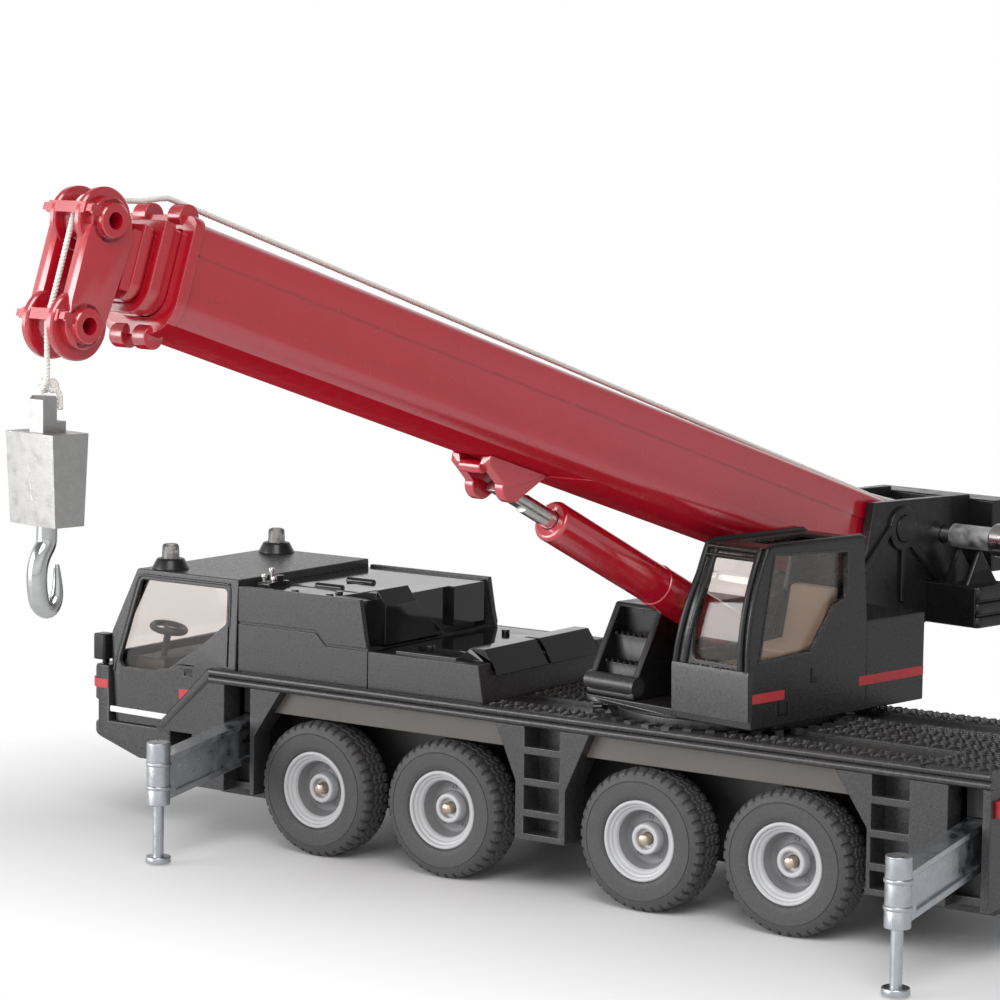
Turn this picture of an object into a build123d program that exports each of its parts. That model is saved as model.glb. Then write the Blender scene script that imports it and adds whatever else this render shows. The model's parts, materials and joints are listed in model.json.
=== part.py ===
"""Toy mobile crane: four axles, four pull-out stands and a two-stage telescopic boom.

A die-cast and plastic model of about 1:55. Millimetres, +X to the carrier's nose,
+Y to its left, +Z up. The origin is on the ground, on the slewing axis.
"""
from build123d import *
import os
from math import cos, radians, sin

# Pose the crane stands in
SLEW = 80.42
LUFF = 17.60

# Fits
RUN_FIT = 0.05
SLIDE_FIT = 0.10
SLEW_GAP = 0.10

# Running gear
AXLE_X = (76.6, 46.6, 3.2, -26.8)
AXLE_R = 1.05
TYRE_R = 13.0
TYRE_W = 8.5
TYRE_SIDE_R = 10.9
TYRE_SET = 0.2
RIM_R = 7.4
RIM_LIP = 0.75
DISH_DEPTH = 4.6
DISH_WEB = 1.3
HUB_R = 2.95
HUB_DEPTH = 2.4
AXLE_END_DEPTH = 1.7

# Carrier body
BODY_HALF = 24.1
TYRE_FACE_Y = BODY_HALF - TYRE_SET
REAR_X = -66.0
DECK_UNDER = 31.0
DECK_Z = 33.5
RAIL_TOP = 33.9
RAIL_W = 1.2
PANEL_SET = 0.5
PANEL_T = 5.1
PANEL_OUT = BODY_HALF - PANEL_SET
PANEL_IN = PANEL_OUT - PANEL_T
PANEL_LOW = 10.0
POCKET_WALL = 1.2
ARCH_F = (84.9, 34.6)
ARCH_F_KNEE = ((91.3, 21.7), (30.0, 20.7))
ARCH_R = (14.0, -36.3)
ARCH_R_KNEE = ((19.0, 20.0), (-42.7, 21.5))
SKIRT_FRONT_X = 107.0
SLANT_TOP_X = 102.6
SLANT_LOW = (116.3, 20.3)
BAND_LOW = 26.4
BAND_SET = 3.9
BAND_Y = BODY_HALF - BAND_SET
BAND_T = 1.2
LADDER_F = (20.4, 28.1)
LADDER_R = (-50.7, -43.5)
RUNG_TOP = 26.6
RUNG_PITCH = 5.8
RUNG_H = 1.4
TREAD_H = 0.35
TREAD_REAR_X = -52.8
CHANNEL_Y = (8.6, 17.4)
CHANNEL_D = 0.4
RAIL_BREAK = 0.8
LEDGE_Z = (10.0, 11.6)
LEDGE_T = 1.6

# Chassis under the deck
SPINE_HALF = 11.0
SPINE_LOW = 8.5
SPINE_FRONT_X = 113.5

# Pull-out stands: a beam that slopes down outwards, and an upright foot
STAND_SLOPE = 8.2
BEAM_W = 4.0
BEAM_H = 8.1
BEAM_FLANGE = 1.2
BEAM_WEB_DEPTH = 0.6
BEAM_Z = 20.0
BEAM_IN_Y = 8.0
STAND_F_X = 95.6
STAND_R_X = -61.2
STAND_PITCH = 4.4
RECESS_W = 6.4
FOOT_Y = 46.9
FOOT_R = 2.25
FOOT_TOP = 23.5
FOOT_STEPS = (19.4, 14.9)
FOOT_LOW = 11.5
FOOT_ROD_R = 1.05
PAD_R = 2.4
PAD_H = 1.3
PAD_LIFT = 0.4
BOX_WALL = 1.6

# Carrier cab
CAB_REAR_X = 97.4
CAB_HALF = 22.0
CAB_ROOF_HALF = 21.1
CAB_ROOF_Z = 51.5
CAB_ROOF_FRONT = 121.5
CAB_WAIST = (128.6, 37.0)
CAB_FRONT_X = 129.6
CAB_WALL = 1.1
GLASS_T = 0.6
CAB_CORNER_R = 3.0
CAB_WINDOW = ((121.0, 49.4), (100.2, 49.4), (100.2, 42.6), (106.6, 37.6), (114.4, 32.4), (118.3, 31.6),
              (126.9, 31.6))
SCREEN_HALF = 18.6
SCREEN_Z = (34.2, 49.9)
CAB_FLOOR_TOP = 30.2
NOSE_HALF = 22.4
NOSE_TIP_X = 136.2
NOSE_SIDE_X = 134.4
NOSE_TOP = 31.5
NOSE_LOW = 24.2
LAMP_Z = (19.6, 23.0)
LAMP_Y = (15.6, 22.0)
LAMP_BACK_X = 132.6
BUMPER_TOP = 19.6
BUMPER_LIP = 18.2
BUMPER_LOW = 13.6
BUMPER_KEEL_X = 121.7
BEACON_X = 118.2
BEACON_Y = 16.9
BEACON_BASE_R = (2.7, 1.75)
BEACON_BASE_H = 1.6
BEACON_LENS_R = (1.35, 1.15)
BEACON_LENS_H = 2.9

# Engine covers behind the cab
COVER_HALF = 21.9
COVER_WALL = 1.2
COVER_F_X = (65.4, 96.8)
COVER_F_H = 16.9
COVER_F_TOP = DECK_Z + COVER_F_H
COVER_F_LEAN = 1.9
COVER_SEAM = 0.1
COVER_R_BACK = 38.6
COVER_R_X = (COVER_R_BACK, COVER_F_X[0] - COVER_SEAM)
COVER_R_H = 7.3
COVER_R_TOP = DECK_Z + COVER_R_H
COVER_R_LEAN = 1.2
COVER_WELL = 3.6
COVER_REAR_WALL = COVER_F_X[0] + COVER_WELL
COVER_R_RIM = 4.0
BACK_T = 1.0
HOOD_A_Y = (-3.8, 15.8)
HOOD_A_TOP_Y = (5.9, 15.8)
HOOD_A_LIP = 1.5
HOOD_A_RISE = 1.7
HOOD_B_Y = (-18.5, -8.0)
HOOD_C_Y = (0.5, 17.7)
HOOD_C_RISE = 2.3
HOOD_C_DROP = 2.3
GROOVE_W = 0.45
GROOVE_D = 0.3
TOP_DROP = 0.5
TOP_T = 1.0

# Slewing upper part, in its own frame: x along the boom, y to its left
KING_R = 9.0
RING_R = 21.0
UPPER_Z = 35.6
FLOOR_T = 1.4
WELL_HALF = 5.5
UCAB_OUT = 22.9
UCAB_REAR = -12.6
UCAB_FRONT = 20.3
UCAB_SILL = 45.7
UCAB_GLASS_H = 21.6
UCAB_ROOF = UCAB_SILL + UCAB_GLASS_H
UCAB_ROOF_FRONT = 15.3
UCAB_ROOF_REAR = -11.2
UCAB_WALL = 1.0
UCAB_LEAN = 5.3
UCAB_WINDOW_TOP = ((14.0, 1.4), (-6.3, 2.3))
UCAB_WINDOW_LOW = ((-6.3, 11.3), (-2.9, 10.2), (3.4, 2.3), (17.6, 1.9))
USCREEN_Y = (9.6, 20.6)
USCREEN_EDGE = (1.2, 1.7)
UCAB_LEDGE = (1.4, 0.5)
ROOF_LIGHT_X = (-7.5, 10.5)
ROOF_LIGHT_Y = (11.5, 20.5)
REAR_BODY_X = -29.9
REAR_BODY_TOP = 51.9
CHEEK_IN = 8.5
CHEEK_OUT = 10.5
CHEEK_TOP = 71.0
CHEEK_FRONT = -30.0
CHEEK_REAR = -60.0
RIB_H = 0.7
LUFF_X = -38.5
LUFF_Z = 65.6
LUFF_PIN_R = 2.5
LUFF_BOSS_R = 4.2
WEIGHT_FRONT = -47.1
WEIGHT_REAR = -58.5
WEIGHT_HALF = 22.5
WEIGHT_Z = (46.9, 54.8)
WEIGHT_SLABS = 3
WEIGHT_GAP = 0.5
FIN_Y = (13.2, 18.0)
FIN_T = 1.2
FIN_GAP = 0.3
HOUSING_REAR = -69.0
HOUSING_HALF = 16.0
HOUSING_Z = (56.0, 69.8)
WINCH_X = -52.0
WINCH_Z = 63.5
WINCH_SHAFT_R = 1.65
DRUM_R = 4.4
DRUM_FLANGE_R = 5.6
DRUM_SIDE_GAP = 0.2
KNOB_Y = 22.5
KNOB_R = 3.2
KNOB_W = 5.0
STAIR_Y = (-17.2, -5.5)
STAIR_LIP_Z = 39.0
STAIR_TOP = (11.0, 53.3)
STAIR_BACK = -12.6
STAIR_CHEEK = 1.4
STAIR_TREADS = 3

# Luffing cylinder, in the upper part's frame
CYL_ANGLE = 26.40
CYL_LEN = 91.2
CYL_PIN_R = 1.5
CYL_EYE_R = 3.0
CYL_EYE_HALF = 3.6
CYL_EYE_LEN = 6.0
LUG_PLATE_T = 1.6
BARREL_R = 3.7
BARREL_BASE_R = 3.9
BARREL_FROM = 2.5
BARREL_STEP = 45.0
BARREL_LEN = 75.6
BARREL_END_R = 0.8
BARREL_BORE_FROM = 21.0
ROD_R = 1.65
ROD_TAIL = 32.0
TONGUE_LEN = 8.0
TONGUE_T = 2.0

# Boom, in its own frame: x along the boom, y to its left, z up from its top face
BOOM_TOP_Z = 82.47
BOOM_HALF = 8.06
BOOM_H = 17.55
BOOM_WALL = 1.2
BOOM_REAR = -46.0
BOOM_FRONT = 139.7
BOOM_TOP_R = 1.0
BOOM_LOW_R = 5.0
FOLD_H = (4.8, 10.9)
FOLD_STEP = 0.18
COLLAR_T = 2.0
COLLAR_RISE = 0.7
GUIDE_LUG_R = 1.9
GUIDE_LUG_Y = (2.6, 5.6)
MID_HALF = 5.9
MID_TOP = 1.7
MID_LOW = 15.3
MID_LOW_R = 3.6
MID_WALL = 1.4
MID_X = (10.0, 145.5)
INNER_X = (25.0, 148.0)
INNER_WALL = 1.2
BAND_FLANGE = 0.5
BAND_FLANGE_T = 2.2
BRACKET_Y = (2.5, 4.6)
BRACKET_TOP = (50.2, 64.9)
BRACKET_PIN = (57.6, 21.3)
BRACKET_EYE_R = 2.6
BRACKET_BAR = (63.6, 19.4)
BRACKET_BAR_R = 1.1
HEAD_Y = (2.3, 5.0)
HEAD_TOP = (154.5, 4.1)
HEAD_LOW = (154.5, 20.3)
HEAD_TOP_R = 4.7
HEAD_LOW_R = 5.2
HEAD_STEP = 0.9
HEAD_PLATE_X = 3.6
HEAD_PLATE_T = 1.3
HEAD_FLANGE = 0.5
HEAD_BOSS_R = 3.1
HEAD_BOSS_H = 1.2
HEAD_BORE_R = 1.3
ROLLER_R = 2.6
GUARD_X = 160.2
GUARD_H = (3.5, 20.0)
GUARD_W = 1.7
GUARD_OVER = 1.6

# Rope, hook block and hook
ROPE_R = 0.5
ROPE_TAIL_X = -43.9
ROPE_TAIL_H = 1.5
KNOT_R = 1.4
BLOCK_Z = (80.2, 94.0)
BLOCK_TOP = (7.0, 9.6)
BLOCK_LOW = (5.4, 9.2)
LUG_H = 5.4
LUG_W = 4.4
LUG_T = 3.0
HOOK_WIRE = 1.6
HOOK_LOW_Z = 66.6
HOOK_BEND_R = 3.6


def block(x0, x1, y0, y1, z0, z1):
    """Upright box between the given limits."""
    return Pos((x0 + x1) / 2, (y0 + y1) / 2, (z0 + z1) / 2) * Box(x1 - x0, y1 - y0, z1 - z0)


def outline(points):
    """Face inside a closed run of straight edges."""
    return make_face(Polyline(*points, close=True))


def side(face, y0, y1):
    """Side-view face of (x, z), made solid from y0 to y1."""
    return extrude(Plane.XZ.offset(-y1) * face, y1 - y0)


def front(face, x0, x1):
    """End-view face of (y, z), made solid from x0 to x1."""
    return extrude(Plane.YZ.offset(x0) * face, x1 - x0)


def plan(face, z0, z1):
    """Top-view face of (x, y), made solid from z0 to z1."""
    return extrude(Plane.XY.offset(z0) * face, z1 - z0)


def rod_y(radius, x, z, y0, y1):
    """Round bar across the crane."""
    return Pos(x, (y0 + y1) / 2, z) * Rot(90, 0, 0) * Cylinder(radius, y1 - y0)


def rod_z(radius, x, y, z0, z1):
    """Upright round bar."""
    return Pos(x, y, (z0 + z1) / 2) * Cylinder(radius, z1 - z0)


def rod_x(radius, y, z, x0, x1):
    """Round bar along the crane."""
    return Pos((x0 + x1) / 2, y, z) * Rot(0, 90, 0) * Cylinder(radius, x1 - x0)


def both(shape):
    """The piece and its mirror image on the other side."""
    return shape + mirror(shape, about=Plane.XZ)


def stand_x(base_x, hand):
    """Middle of a stand's beam; the right-hand beams run beside the left-hand ones."""
    return base_x if hand > 0 else base_x + STAND_PITCH


# Carrier body and chassis

def stand_recess(base_x, hand):
    """Upright slot in the side that the stowed foot goes into."""
    mid = stand_x(base_x, hand)
    low = PANEL_LOW - 5
    slot = block(mid - RECESS_W / 2, mid + RECESS_W / 2, PANEL_IN - 1, BODY_HALF + 1, low, DECK_UNDER)
    return slot if hand > 0 else mirror(slot, about=Plane.XZ)


def recess_ledge(base_x, hand):
    """Step across the foot of a stand's slot."""
    mid = stand_x(base_x, hand)
    step = block(mid - RECESS_W / 2, mid + RECESS_W / 2, PANEL_IN, PANEL_IN + LEDGE_T, *LEDGE_Z)
    return step if hand > 0 else mirror(step, about=Plane.XZ)


def ladder(span):
    """Pocket for a ladder, and its rungs."""
    pocket = block(span[0], span[1], PANEL_IN, BODY_HALF + 1, PANEL_LOW + POCKET_WALL, DECK_UNDER)
    rungs = []
    for i in range(3):
        top = RUNG_TOP - i * RUNG_PITCH + RUNG_H / 2
        rungs.append(block(span[0], span[1], PANEL_OUT - POCKET_WALL, PANEL_OUT, top - RUNG_H, top))
    return pocket, rungs


def side_wall():
    """Left side under the deck edge: panels between the wheel arches, with ladders."""
    back = PANEL_IN - POCKET_WALL
    front_panel = outline([(ARCH_F[0], DECK_UNDER), (SLANT_TOP_X, DECK_UNDER), (SLANT_TOP_X, DECK_Z),
                           SLANT_LOW, (SKIRT_FRONT_X, SLANT_LOW[1]), (SKIRT_FRONT_X, PANEL_LOW),
                           (ARCH_F_KNEE[0][0], PANEL_LOW), ARCH_F_KNEE[0]])
    mid_panel = outline([(ARCH_F[1], DECK_UNDER), ARCH_F_KNEE[1], (ARCH_F_KNEE[1][0], PANEL_LOW),
                         (ARCH_R_KNEE[0][0], PANEL_LOW), ARCH_R_KNEE[0], (ARCH_R[0], DECK_UNDER)])
    rear_panel = outline([(ARCH_R[1], DECK_UNDER), ARCH_R_KNEE[1], (ARCH_R_KNEE[1][0], PANEL_LOW),
                          (REAR_X, PANEL_LOW), (REAR_X, DECK_UNDER)])
    wall = side(front_panel, PANEL_IN, PANEL_OUT)
    wall += side(mid_panel, back, PANEL_OUT)
    wall += side(rear_panel, PANEL_IN, PANEL_OUT)
    wall += block(LADDER_R[0] - POCKET_WALL, ARCH_R_KNEE[1][0], back, PANEL_OUT, PANEL_LOW, DECK_UNDER)
    for span in (LADDER_F, LADDER_R):
        pocket, rungs = ladder(span)
        wall -= pocket
        for rung in rungs:
            wall += rung
    return wall


def edge_rail():
    """Double-beaded deck edge that turns down along the back of the cab."""
    inner = BODY_HALF - RAIL_W
    mid_z = (DECK_UNDER + RAIL_TOP) / 2
    bead = (RAIL_TOP - DECK_UNDER) / 4
    rail = block(REAR_X, SLANT_TOP_X, inner, BODY_HALF - bead, DECK_UNDER, RAIL_TOP)
    for z in (mid_z - bead, mid_z + bead):
        rail += rod_x(bead, BODY_HALF - bead, z, REAR_X, SLANT_TOP_X)
    drop = DECK_Z - SLANT_LOW[1]
    run = SLANT_LOW[0] - SLANT_TOP_X
    lip = outline([(SLANT_TOP_X, RAIL_TOP), (SLANT_LOW[0], RAIL_TOP - drop),
                   (SLANT_LOW[0] - 2.0, RAIL_TOP - drop), (SLANT_TOP_X, RAIL_TOP - 2.0 * drop / run)])
    rail += side(lip, PANEL_OUT, BODY_HALF - bead / 2)
    return rail


def carrier_body():
    """Deck, edge rails, side panels and ladders in one casting."""
    body = block(REAR_X, SLANT_TOP_X, -BODY_HALF + RAIL_W, BODY_HALF - RAIL_W, DECK_UNDER, DECK_Z)
    body += both(edge_rail())
    body += both(side_wall())
    inner = BODY_HALF - RAIL_W
    ahead = COVER_R_BACK - 1
    body += block(REAR_X, ahead, -inner, inner, DECK_Z, DECK_Z + TREAD_H)
    channel = block(TREAD_REAR_X, ahead + 1, CHANNEL_Y[0], CHANNEL_Y[1], DECK_Z - CHANNEL_D, DECK_Z + 1)
    body -= both(channel)
    cut = block(TREAD_REAR_X - RAIL_BREAK, TREAD_REAR_X, inner - 1, BODY_HALF + 1, DECK_Z, RAIL_TOP + 1)
    body -= both(cut)
    body -= rod_z(RING_R + 0.6, 0, 0, DECK_Z - CHANNEL_D, DECK_Z + 2)
    body -= rod_z(KING_R + RUN_FIT, 0, 0, DECK_UNDER - 1, DECK_Z + 1)
    for hand in (1, -1):
        for base_x in (STAND_F_X, STAND_R_X):
            body -= stand_recess(base_x, hand)
            body += recess_ledge(base_x, hand)
    return body


def arch_bands():
    """Plain band set back in the top of each wheel arch."""
    drop = DECK_UNDER - BAND_LOW
    bands = None
    for arch, knee in ((ARCH_F, ARCH_F_KNEE), (ARCH_R, ARCH_R_KNEE)):
        ahead = arch[0] + (knee[0][0] - arch[0]) * drop / (DECK_UNDER - knee[0][1])
        behind = arch[1] + (knee[1][0] - arch[1]) * drop / (DECK_UNDER - knee[1][1])
        face = outline([(arch[0], DECK_UNDER), (ahead, BAND_LOW), (behind, BAND_LOW), (arch[1], DECK_UNDER)])
        band = both(side(face, BAND_Y, BAND_Y + BAND_T))
        bands = band if bands is None else bands + band
    return bands


def beam_frame(base_x, hand):
    """Place of a left-hand beam's own frame: y runs out along the slope."""
    x = stand_x(base_x, hand)
    return Pos(x, PANEL_OUT, BEAM_Z) * Rot(-STAND_SLOPE, 0, 0)


def stand_slot(base_x, hand):
    """Passage for a beam through its cross box."""
    reach = 2 * BODY_HALF + 6
    cut = beam_frame(base_x, hand) * Box(BEAM_W + 2 * SLIDE_FIT, 2 * reach, BEAM_H + 2 * SLIDE_FIT)
    return cut if hand > 0 else mirror(cut, about=Plane.XZ)


def chassis_frame():
    """Spine with the axle bores, and the two cross boxes that guide the stands."""
    frame = block(REAR_X, SLANT_TOP_X, -SPINE_HALF, SPINE_HALF, SPINE_LOW, DECK_UNDER)
    frame += block(SLANT_TOP_X, SPINE_FRONT_X, -SPINE_HALF, SPINE_HALF, SPINE_LOW, SLANT_LOW[1])
    for base_x in (STAND_F_X, STAND_R_X):
        x0 = max(base_x - BEAM_W / 2 - BOX_WALL, REAR_X)
        x1 = base_x + STAND_PITCH + BEAM_W / 2 + BOX_WALL
        frame += block(x0, x1, -PANEL_IN, PANEL_IN, SPINE_LOW, DECK_UNDER)
    for x in AXLE_X:
        frame -= rod_y(AXLE_R + RUN_FIT, x, TYRE_R, -SPINE_HALF - 1, SPINE_HALF + 1)
    for hand in (1, -1):
        for base_x in (STAND_F_X, STAND_R_X):
            frame -= stand_slot(base_x, hand)
    return frame


def stand(base_x, hand):
    """One pull-out stand: flanged beam with an upright stepped foot."""
    x = stand_x(base_x, hand)
    slope = radians(STAND_SLOPE)
    inner = -(PANEL_OUT - BEAM_IN_Y) / cos(slope)
    outer = (FOOT_Y - PANEL_OUT) / cos(slope)
    beam = block(-BEAM_W / 2, BEAM_W / 2, inner, outer, -BEAM_H / 2, BEAM_H / 2)
    web_h = BEAM_H - 2 * BEAM_FLANGE
    for face_x in (-BEAM_W / 2, BEAM_W / 2):
        beam -= Pos(face_x, (inner + outer) / 2, 0) * Box(2 * BEAM_WEB_DEPTH, outer - inner - 5.0, web_h)
    piece = beam_frame(base_x, hand) * beam
    piece += rod_z(FOOT_R, x, FOOT_Y, FOOT_LOW, FOOT_TOP)
    for z in FOOT_STEPS:
        piece += rod_z(FOOT_R + 0.2, x, FOOT_Y, z - 0.4, z + 0.4)
    piece += rod_z(FOOT_ROD_R, x, FOOT_Y, PAD_LIFT, FOOT_LOW)
    piece += rod_z(PAD_R, x, FOOT_Y, PAD_LIFT, PAD_LIFT + PAD_H)
    return piece if hand > 0 else mirror(piece, about=Plane.XZ)


# Wheels

def ring(points, x):
    """Profile of (radius, y) turned about an axle."""
    face = make_face(Polyline(*[(r, y) for r, y in points], close=True))
    turned = revolve(face, axis=Axis.Y)
    return Pos(x, 0, TYRE_R) * turned


def tyres(x):
    """Both tyres of an axle."""
    out = TYRE_FACE_Y
    back = out - TYRE_W
    profile = [(RIM_R, out - 0.5), (8.6, out), (TYRE_SIDE_R, out), (TYRE_R - 0.45, out - 1.0),
               (TYRE_R, out - 1.8), (TYRE_R, back + 1.8), (TYRE_R - 0.45, back + 1.0),
               (TYRE_SIDE_R, back), (RIM_R, back)]
    return both(ring(profile, x))


def wheels(x):
    """Dished rims and the axle that joins them."""
    out = TYRE_FACE_Y - 0.5
    back = TYRE_FACE_Y - TYRE_W
    web = TYRE_FACE_Y - DISH_DEPTH
    hub = TYRE_FACE_Y - HUB_DEPTH
    profile = [(RIM_R, out), (RIM_R - RIM_LIP, out), (RIM_R - 1.3, out - 1.0), (RIM_R - 1.5, web), (HUB_R, web),
               (HUB_R - 0.3, hub), (AXLE_R, hub), (AXLE_R, web - DISH_WEB), (RIM_R - 1.5, web - DISH_WEB),
               (RIM_R - 1.3, back), (RIM_R, back)]
    half = TYRE_FACE_Y - AXLE_END_DEPTH
    return both(ring(profile, x)) + rod_y(AXLE_R, x, TYRE_R, -half, half)


# Carrier cab

def cab_form(inset):
    """Outer form of the cab, or the same form drawn in by a wall."""
    profile = outline([(CAB_REAR_X, DECK_Z), (CAB_REAR_X, CAB_ROOF_Z), (CAB_ROOF_FRONT, CAB_ROOF_Z), CAB_WAIST,
                       (CAB_FRONT_X, NOSE_TOP), (CAB_FRONT_X, SLANT_LOW[1]), SLANT_LOW, (SLANT_TOP_X, DECK_Z)])
    across = outline([(-CAB_HALF, SLANT_LOW[1] - 1), (-CAB_HALF, DECK_Z), (-CAB_ROOF_HALF, CAB_ROOF_Z),
                      (CAB_ROOF_HALF, CAB_ROOF_Z), (CAB_HALF, DECK_Z), (CAB_HALF, SLANT_LOW[1] - 1)])
    above = Pos((CAB_REAR_X + CAB_FRONT_X) / 2, 0) * Rectangle(CAB_FRONT_X - CAB_REAR_X, 2 * CAB_HALF)
    above = fillet(above.vertices().group_by(Axis.X)[-1], CAB_CORNER_R)
    if inset > 0:
        profile = offset(profile, -inset, kind=Kind.INTERSECTION)
        across = offset(across, -inset, kind=Kind.INTERSECTION)
        above = offset(above, -inset, kind=Kind.INTERSECTION)
    form = side(profile, -CAB_HALF, CAB_HALF)
    form = form & front(across, CAB_REAR_X, CAB_FRONT_X)
    return form & plan(above, SLANT_LOW[1], CAB_ROOF_Z)


def cab_shell():
    """Hollow cab with its side windows, windscreen and door lines cut in."""
    shell = cab_form(0) - cab_form(CAB_WALL)
    window = fillet(outline(CAB_WINDOW).vertices(), 0.9)
    shell -= side(window, -CAB_HALF - 1, CAB_HALF + 1)
    screen = fillet(outline([(-SCREEN_HALF, SCREEN_Z[0]), (-SCREEN_HALF + 0.6, SCREEN_Z[1]),
                             (SCREEN_HALF - 0.6, SCREEN_Z[1]), (SCREEN_HALF, SCREEN_Z[0])]).vertices(), 1.2)
    shell -= front(screen, CAB_ROOF_FRONT - 4, CAB_FRONT_X + 1)
    seam = block(99.2, 99.2 + GROOVE_W, CAB_HALF - 1.05, CAB_HALF + 1, DECK_Z + 0.6, CAB_ROOF_Z - 0.8)
    catch = block(108.0, 110.4, CAB_HALF - 0.4, CAB_HALF + 1, 31.4, 33.4)
    shell -= both(seam)
    shell -= both(catch)
    return shell


def cab_glazing():
    """Clear insert behind the window openings."""
    room = block(CAB_REAR_X, CAB_FRONT_X, -CAB_HALF, CAB_HALF, CAB_FLOOR_TOP, CAB_ROOF_Z)
    return (cab_form(CAB_WALL) - cab_form(CAB_WALL + GLASS_T)) & room


def cab_interior():
    """Floor block, dashboard, two seats and the steering wheel."""
    low = block(CAB_REAR_X, CAB_FRONT_X, -CAB_HALF, CAB_HALF, SLANT_LOW[1], CAB_FLOOR_TOP)
    inside = cab_form(CAB_WALL) & low
    fill = block(119.0, 126.4, -17.5, 17.5, CAB_FLOOR_TOP, 33.2)
    for y in (9.5, -9.5):
        fill += block(100.8, 110.0, y - 5.0, y + 5.0, CAB_FLOOR_TOP, 36.8)
        back = outline([(100.8, 36.8), (103.0, 36.8), (101.8, 46.0), (100.0, 46.0)])
        fill += side(back, y - 4.8, y + 4.8)
    column = Pos(117.6, 9.5, 35.2) * Rot(0, -28, 0)
    fill += column * Cylinder(0.7, 6.6)
    fill += column * Pos(0, 0, 3.3) * Torus(3.2, 0.45)
    fill += column * Pos(0, 0, 3.2) * Box(6.4, 0.9, 0.5)
    return inside + (fill & cab_form(CAB_WALL + GLASS_T))


def nose_plan(inset):
    """Top view of the nose: a bowed front with rounded corners."""
    half = NOSE_HALF - inset
    arc = ThreePointArc((NOSE_SIDE_X - inset, -half), (NOSE_TIP_X - inset, 0), (NOSE_SIDE_X - inset, half))
    rest = Polyline((NOSE_SIDE_X - inset, half), (SKIRT_FRONT_X, half), (SKIRT_FRONT_X, -half),
                    (NOSE_SIDE_X - inset, -half))
    face = make_face([arc, rest])
    return fillet(face.vertices().group_by(Axis.X)[-1], 3.6)


def front_mask():
    """Nose panel with the lamp strip set back under it, and the keeled bumper."""
    upper = outline([(CAB_FRONT_X, NOSE_TOP), (133.2, NOSE_TOP), (NOSE_TIP_X, 29.2), (NOSE_TIP_X, NOSE_LOW),
                     (CAB_FRONT_X, NOSE_LOW)])
    strip = outline([(CAB_FRONT_X, NOSE_LOW), (LAMP_BACK_X, NOSE_LOW), (LAMP_BACK_X, BUMPER_TOP),
                     (CAB_FRONT_X, BUMPER_TOP)])
    keel = outline([(SPINE_FRONT_X, SLANT_LOW[1]), (CAB_FRONT_X, SLANT_LOW[1]), (CAB_FRONT_X, BUMPER_TOP),
                    (NOSE_TIP_X, BUMPER_TOP), (NOSE_TIP_X, BUMPER_LIP), (BUMPER_KEEL_X, BUMPER_LOW),
                    (SPINE_FRONT_X, BUMPER_LOW)])
    mask = side(upper, -NOSE_HALF, NOSE_HALF) + side(strip, -NOSE_HALF, NOSE_HALF)
    mask += side(keel, -NOSE_HALF, NOSE_HALF)
    return mask & plan(nose_plan(0), BUMPER_LOW, NOSE_TOP)


def headlamps():
    """Clear lamp blocks at the corners of the lamp strip."""
    lamp = block(LAMP_BACK_X, NOSE_TIP_X, LAMP_Y[0], LAMP_Y[1], LAMP_Z[0], LAMP_Z[1])
    return both(lamp & plan(nose_plan(0.5), LAMP_Z[0], LAMP_Z[1]))


def mirrors():
    """Door mirrors on short stalks."""
    head = fillet(block(129.9, 133.0, 20.2, 23.4, 32.6, 37.8).edges().filter_by(Axis.Z), 0.7)
    stalk = block(130.9, 132.1, 20.4, 21.6, NOSE_TOP, 33.0)
    return both(head + stalk)


def beacon_bases():
    """Conical feet of the beacons."""
    foot = Pos(BEACON_X, BEACON_Y, CAB_ROOF_Z + BEACON_BASE_H / 2) * Cone(*BEACON_BASE_R, BEACON_BASE_H)
    return both(foot)


def beacon_lenses():
    """Clear beacon domes."""
    low = CAB_ROOF_Z + BEACON_BASE_H
    dome = Pos(BEACON_X, BEACON_Y, low + BEACON_LENS_H / 2) * Cone(*BEACON_LENS_R, BEACON_LENS_H)
    return both(dome)


# Engine covers

def groove(points):
    """Thin line cut into a cover's side along the given run."""
    half = GROOVE_W / 2
    run = [(x, z + half) for x, z in points] + [(x, z - half) for x, z in reversed(points)]
    return side(outline(run), COVER_HALF - GROOVE_D, COVER_HALF + 1)


def cover_front():
    """Tall cover behind the cab, open at the top and rear for the gloss inserts."""
    back, ahead = COVER_F_X
    profile = outline([(back, DECK_Z), (ahead, DECK_Z), (ahead, COVER_F_TOP),
                       (back + COVER_F_LEAN, COVER_F_TOP), (back + 0.4 * COVER_F_LEAN, COVER_R_TOP + 3.2),
                       (back, COVER_R_TOP)])
    inner = COVER_HALF - COVER_WALL
    top = COVER_F_TOP - TOP_DROP
    cover = side(profile, -COVER_HALF, COVER_HALF)
    cover -= block(back - 1, ahead + 1, -inner, inner, top - TOP_T, COVER_F_TOP + 1)
    cover -= block(back - 1, COVER_REAR_WALL, -inner, inner, COVER_R_TOP, COVER_F_TOP + 1)
    step_z = COVER_R_TOP + 2.5
    low_z = COVER_R_TOP + 0.2
    line = groove([(ahead, step_z), (back + 12.4, step_z), (back + 10.0, low_z), (back, low_z)])
    return cover - both(line)


def cover_rear():
    """Low cover behind the tall one."""
    back, ahead = COVER_R_X
    profile = outline([(back, DECK_Z), (ahead, DECK_Z), (ahead, COVER_R_TOP),
                       (back + COVER_R_LEAN, COVER_R_TOP)])
    inner = COVER_HALF - COVER_WALL
    cover = side(profile, -COVER_HALF, COVER_HALF)
    return cover - block(back + COVER_R_RIM, ahead + 1, -inner, inner, COVER_R_TOP - TOP_T, COVER_R_TOP + 1)


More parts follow.
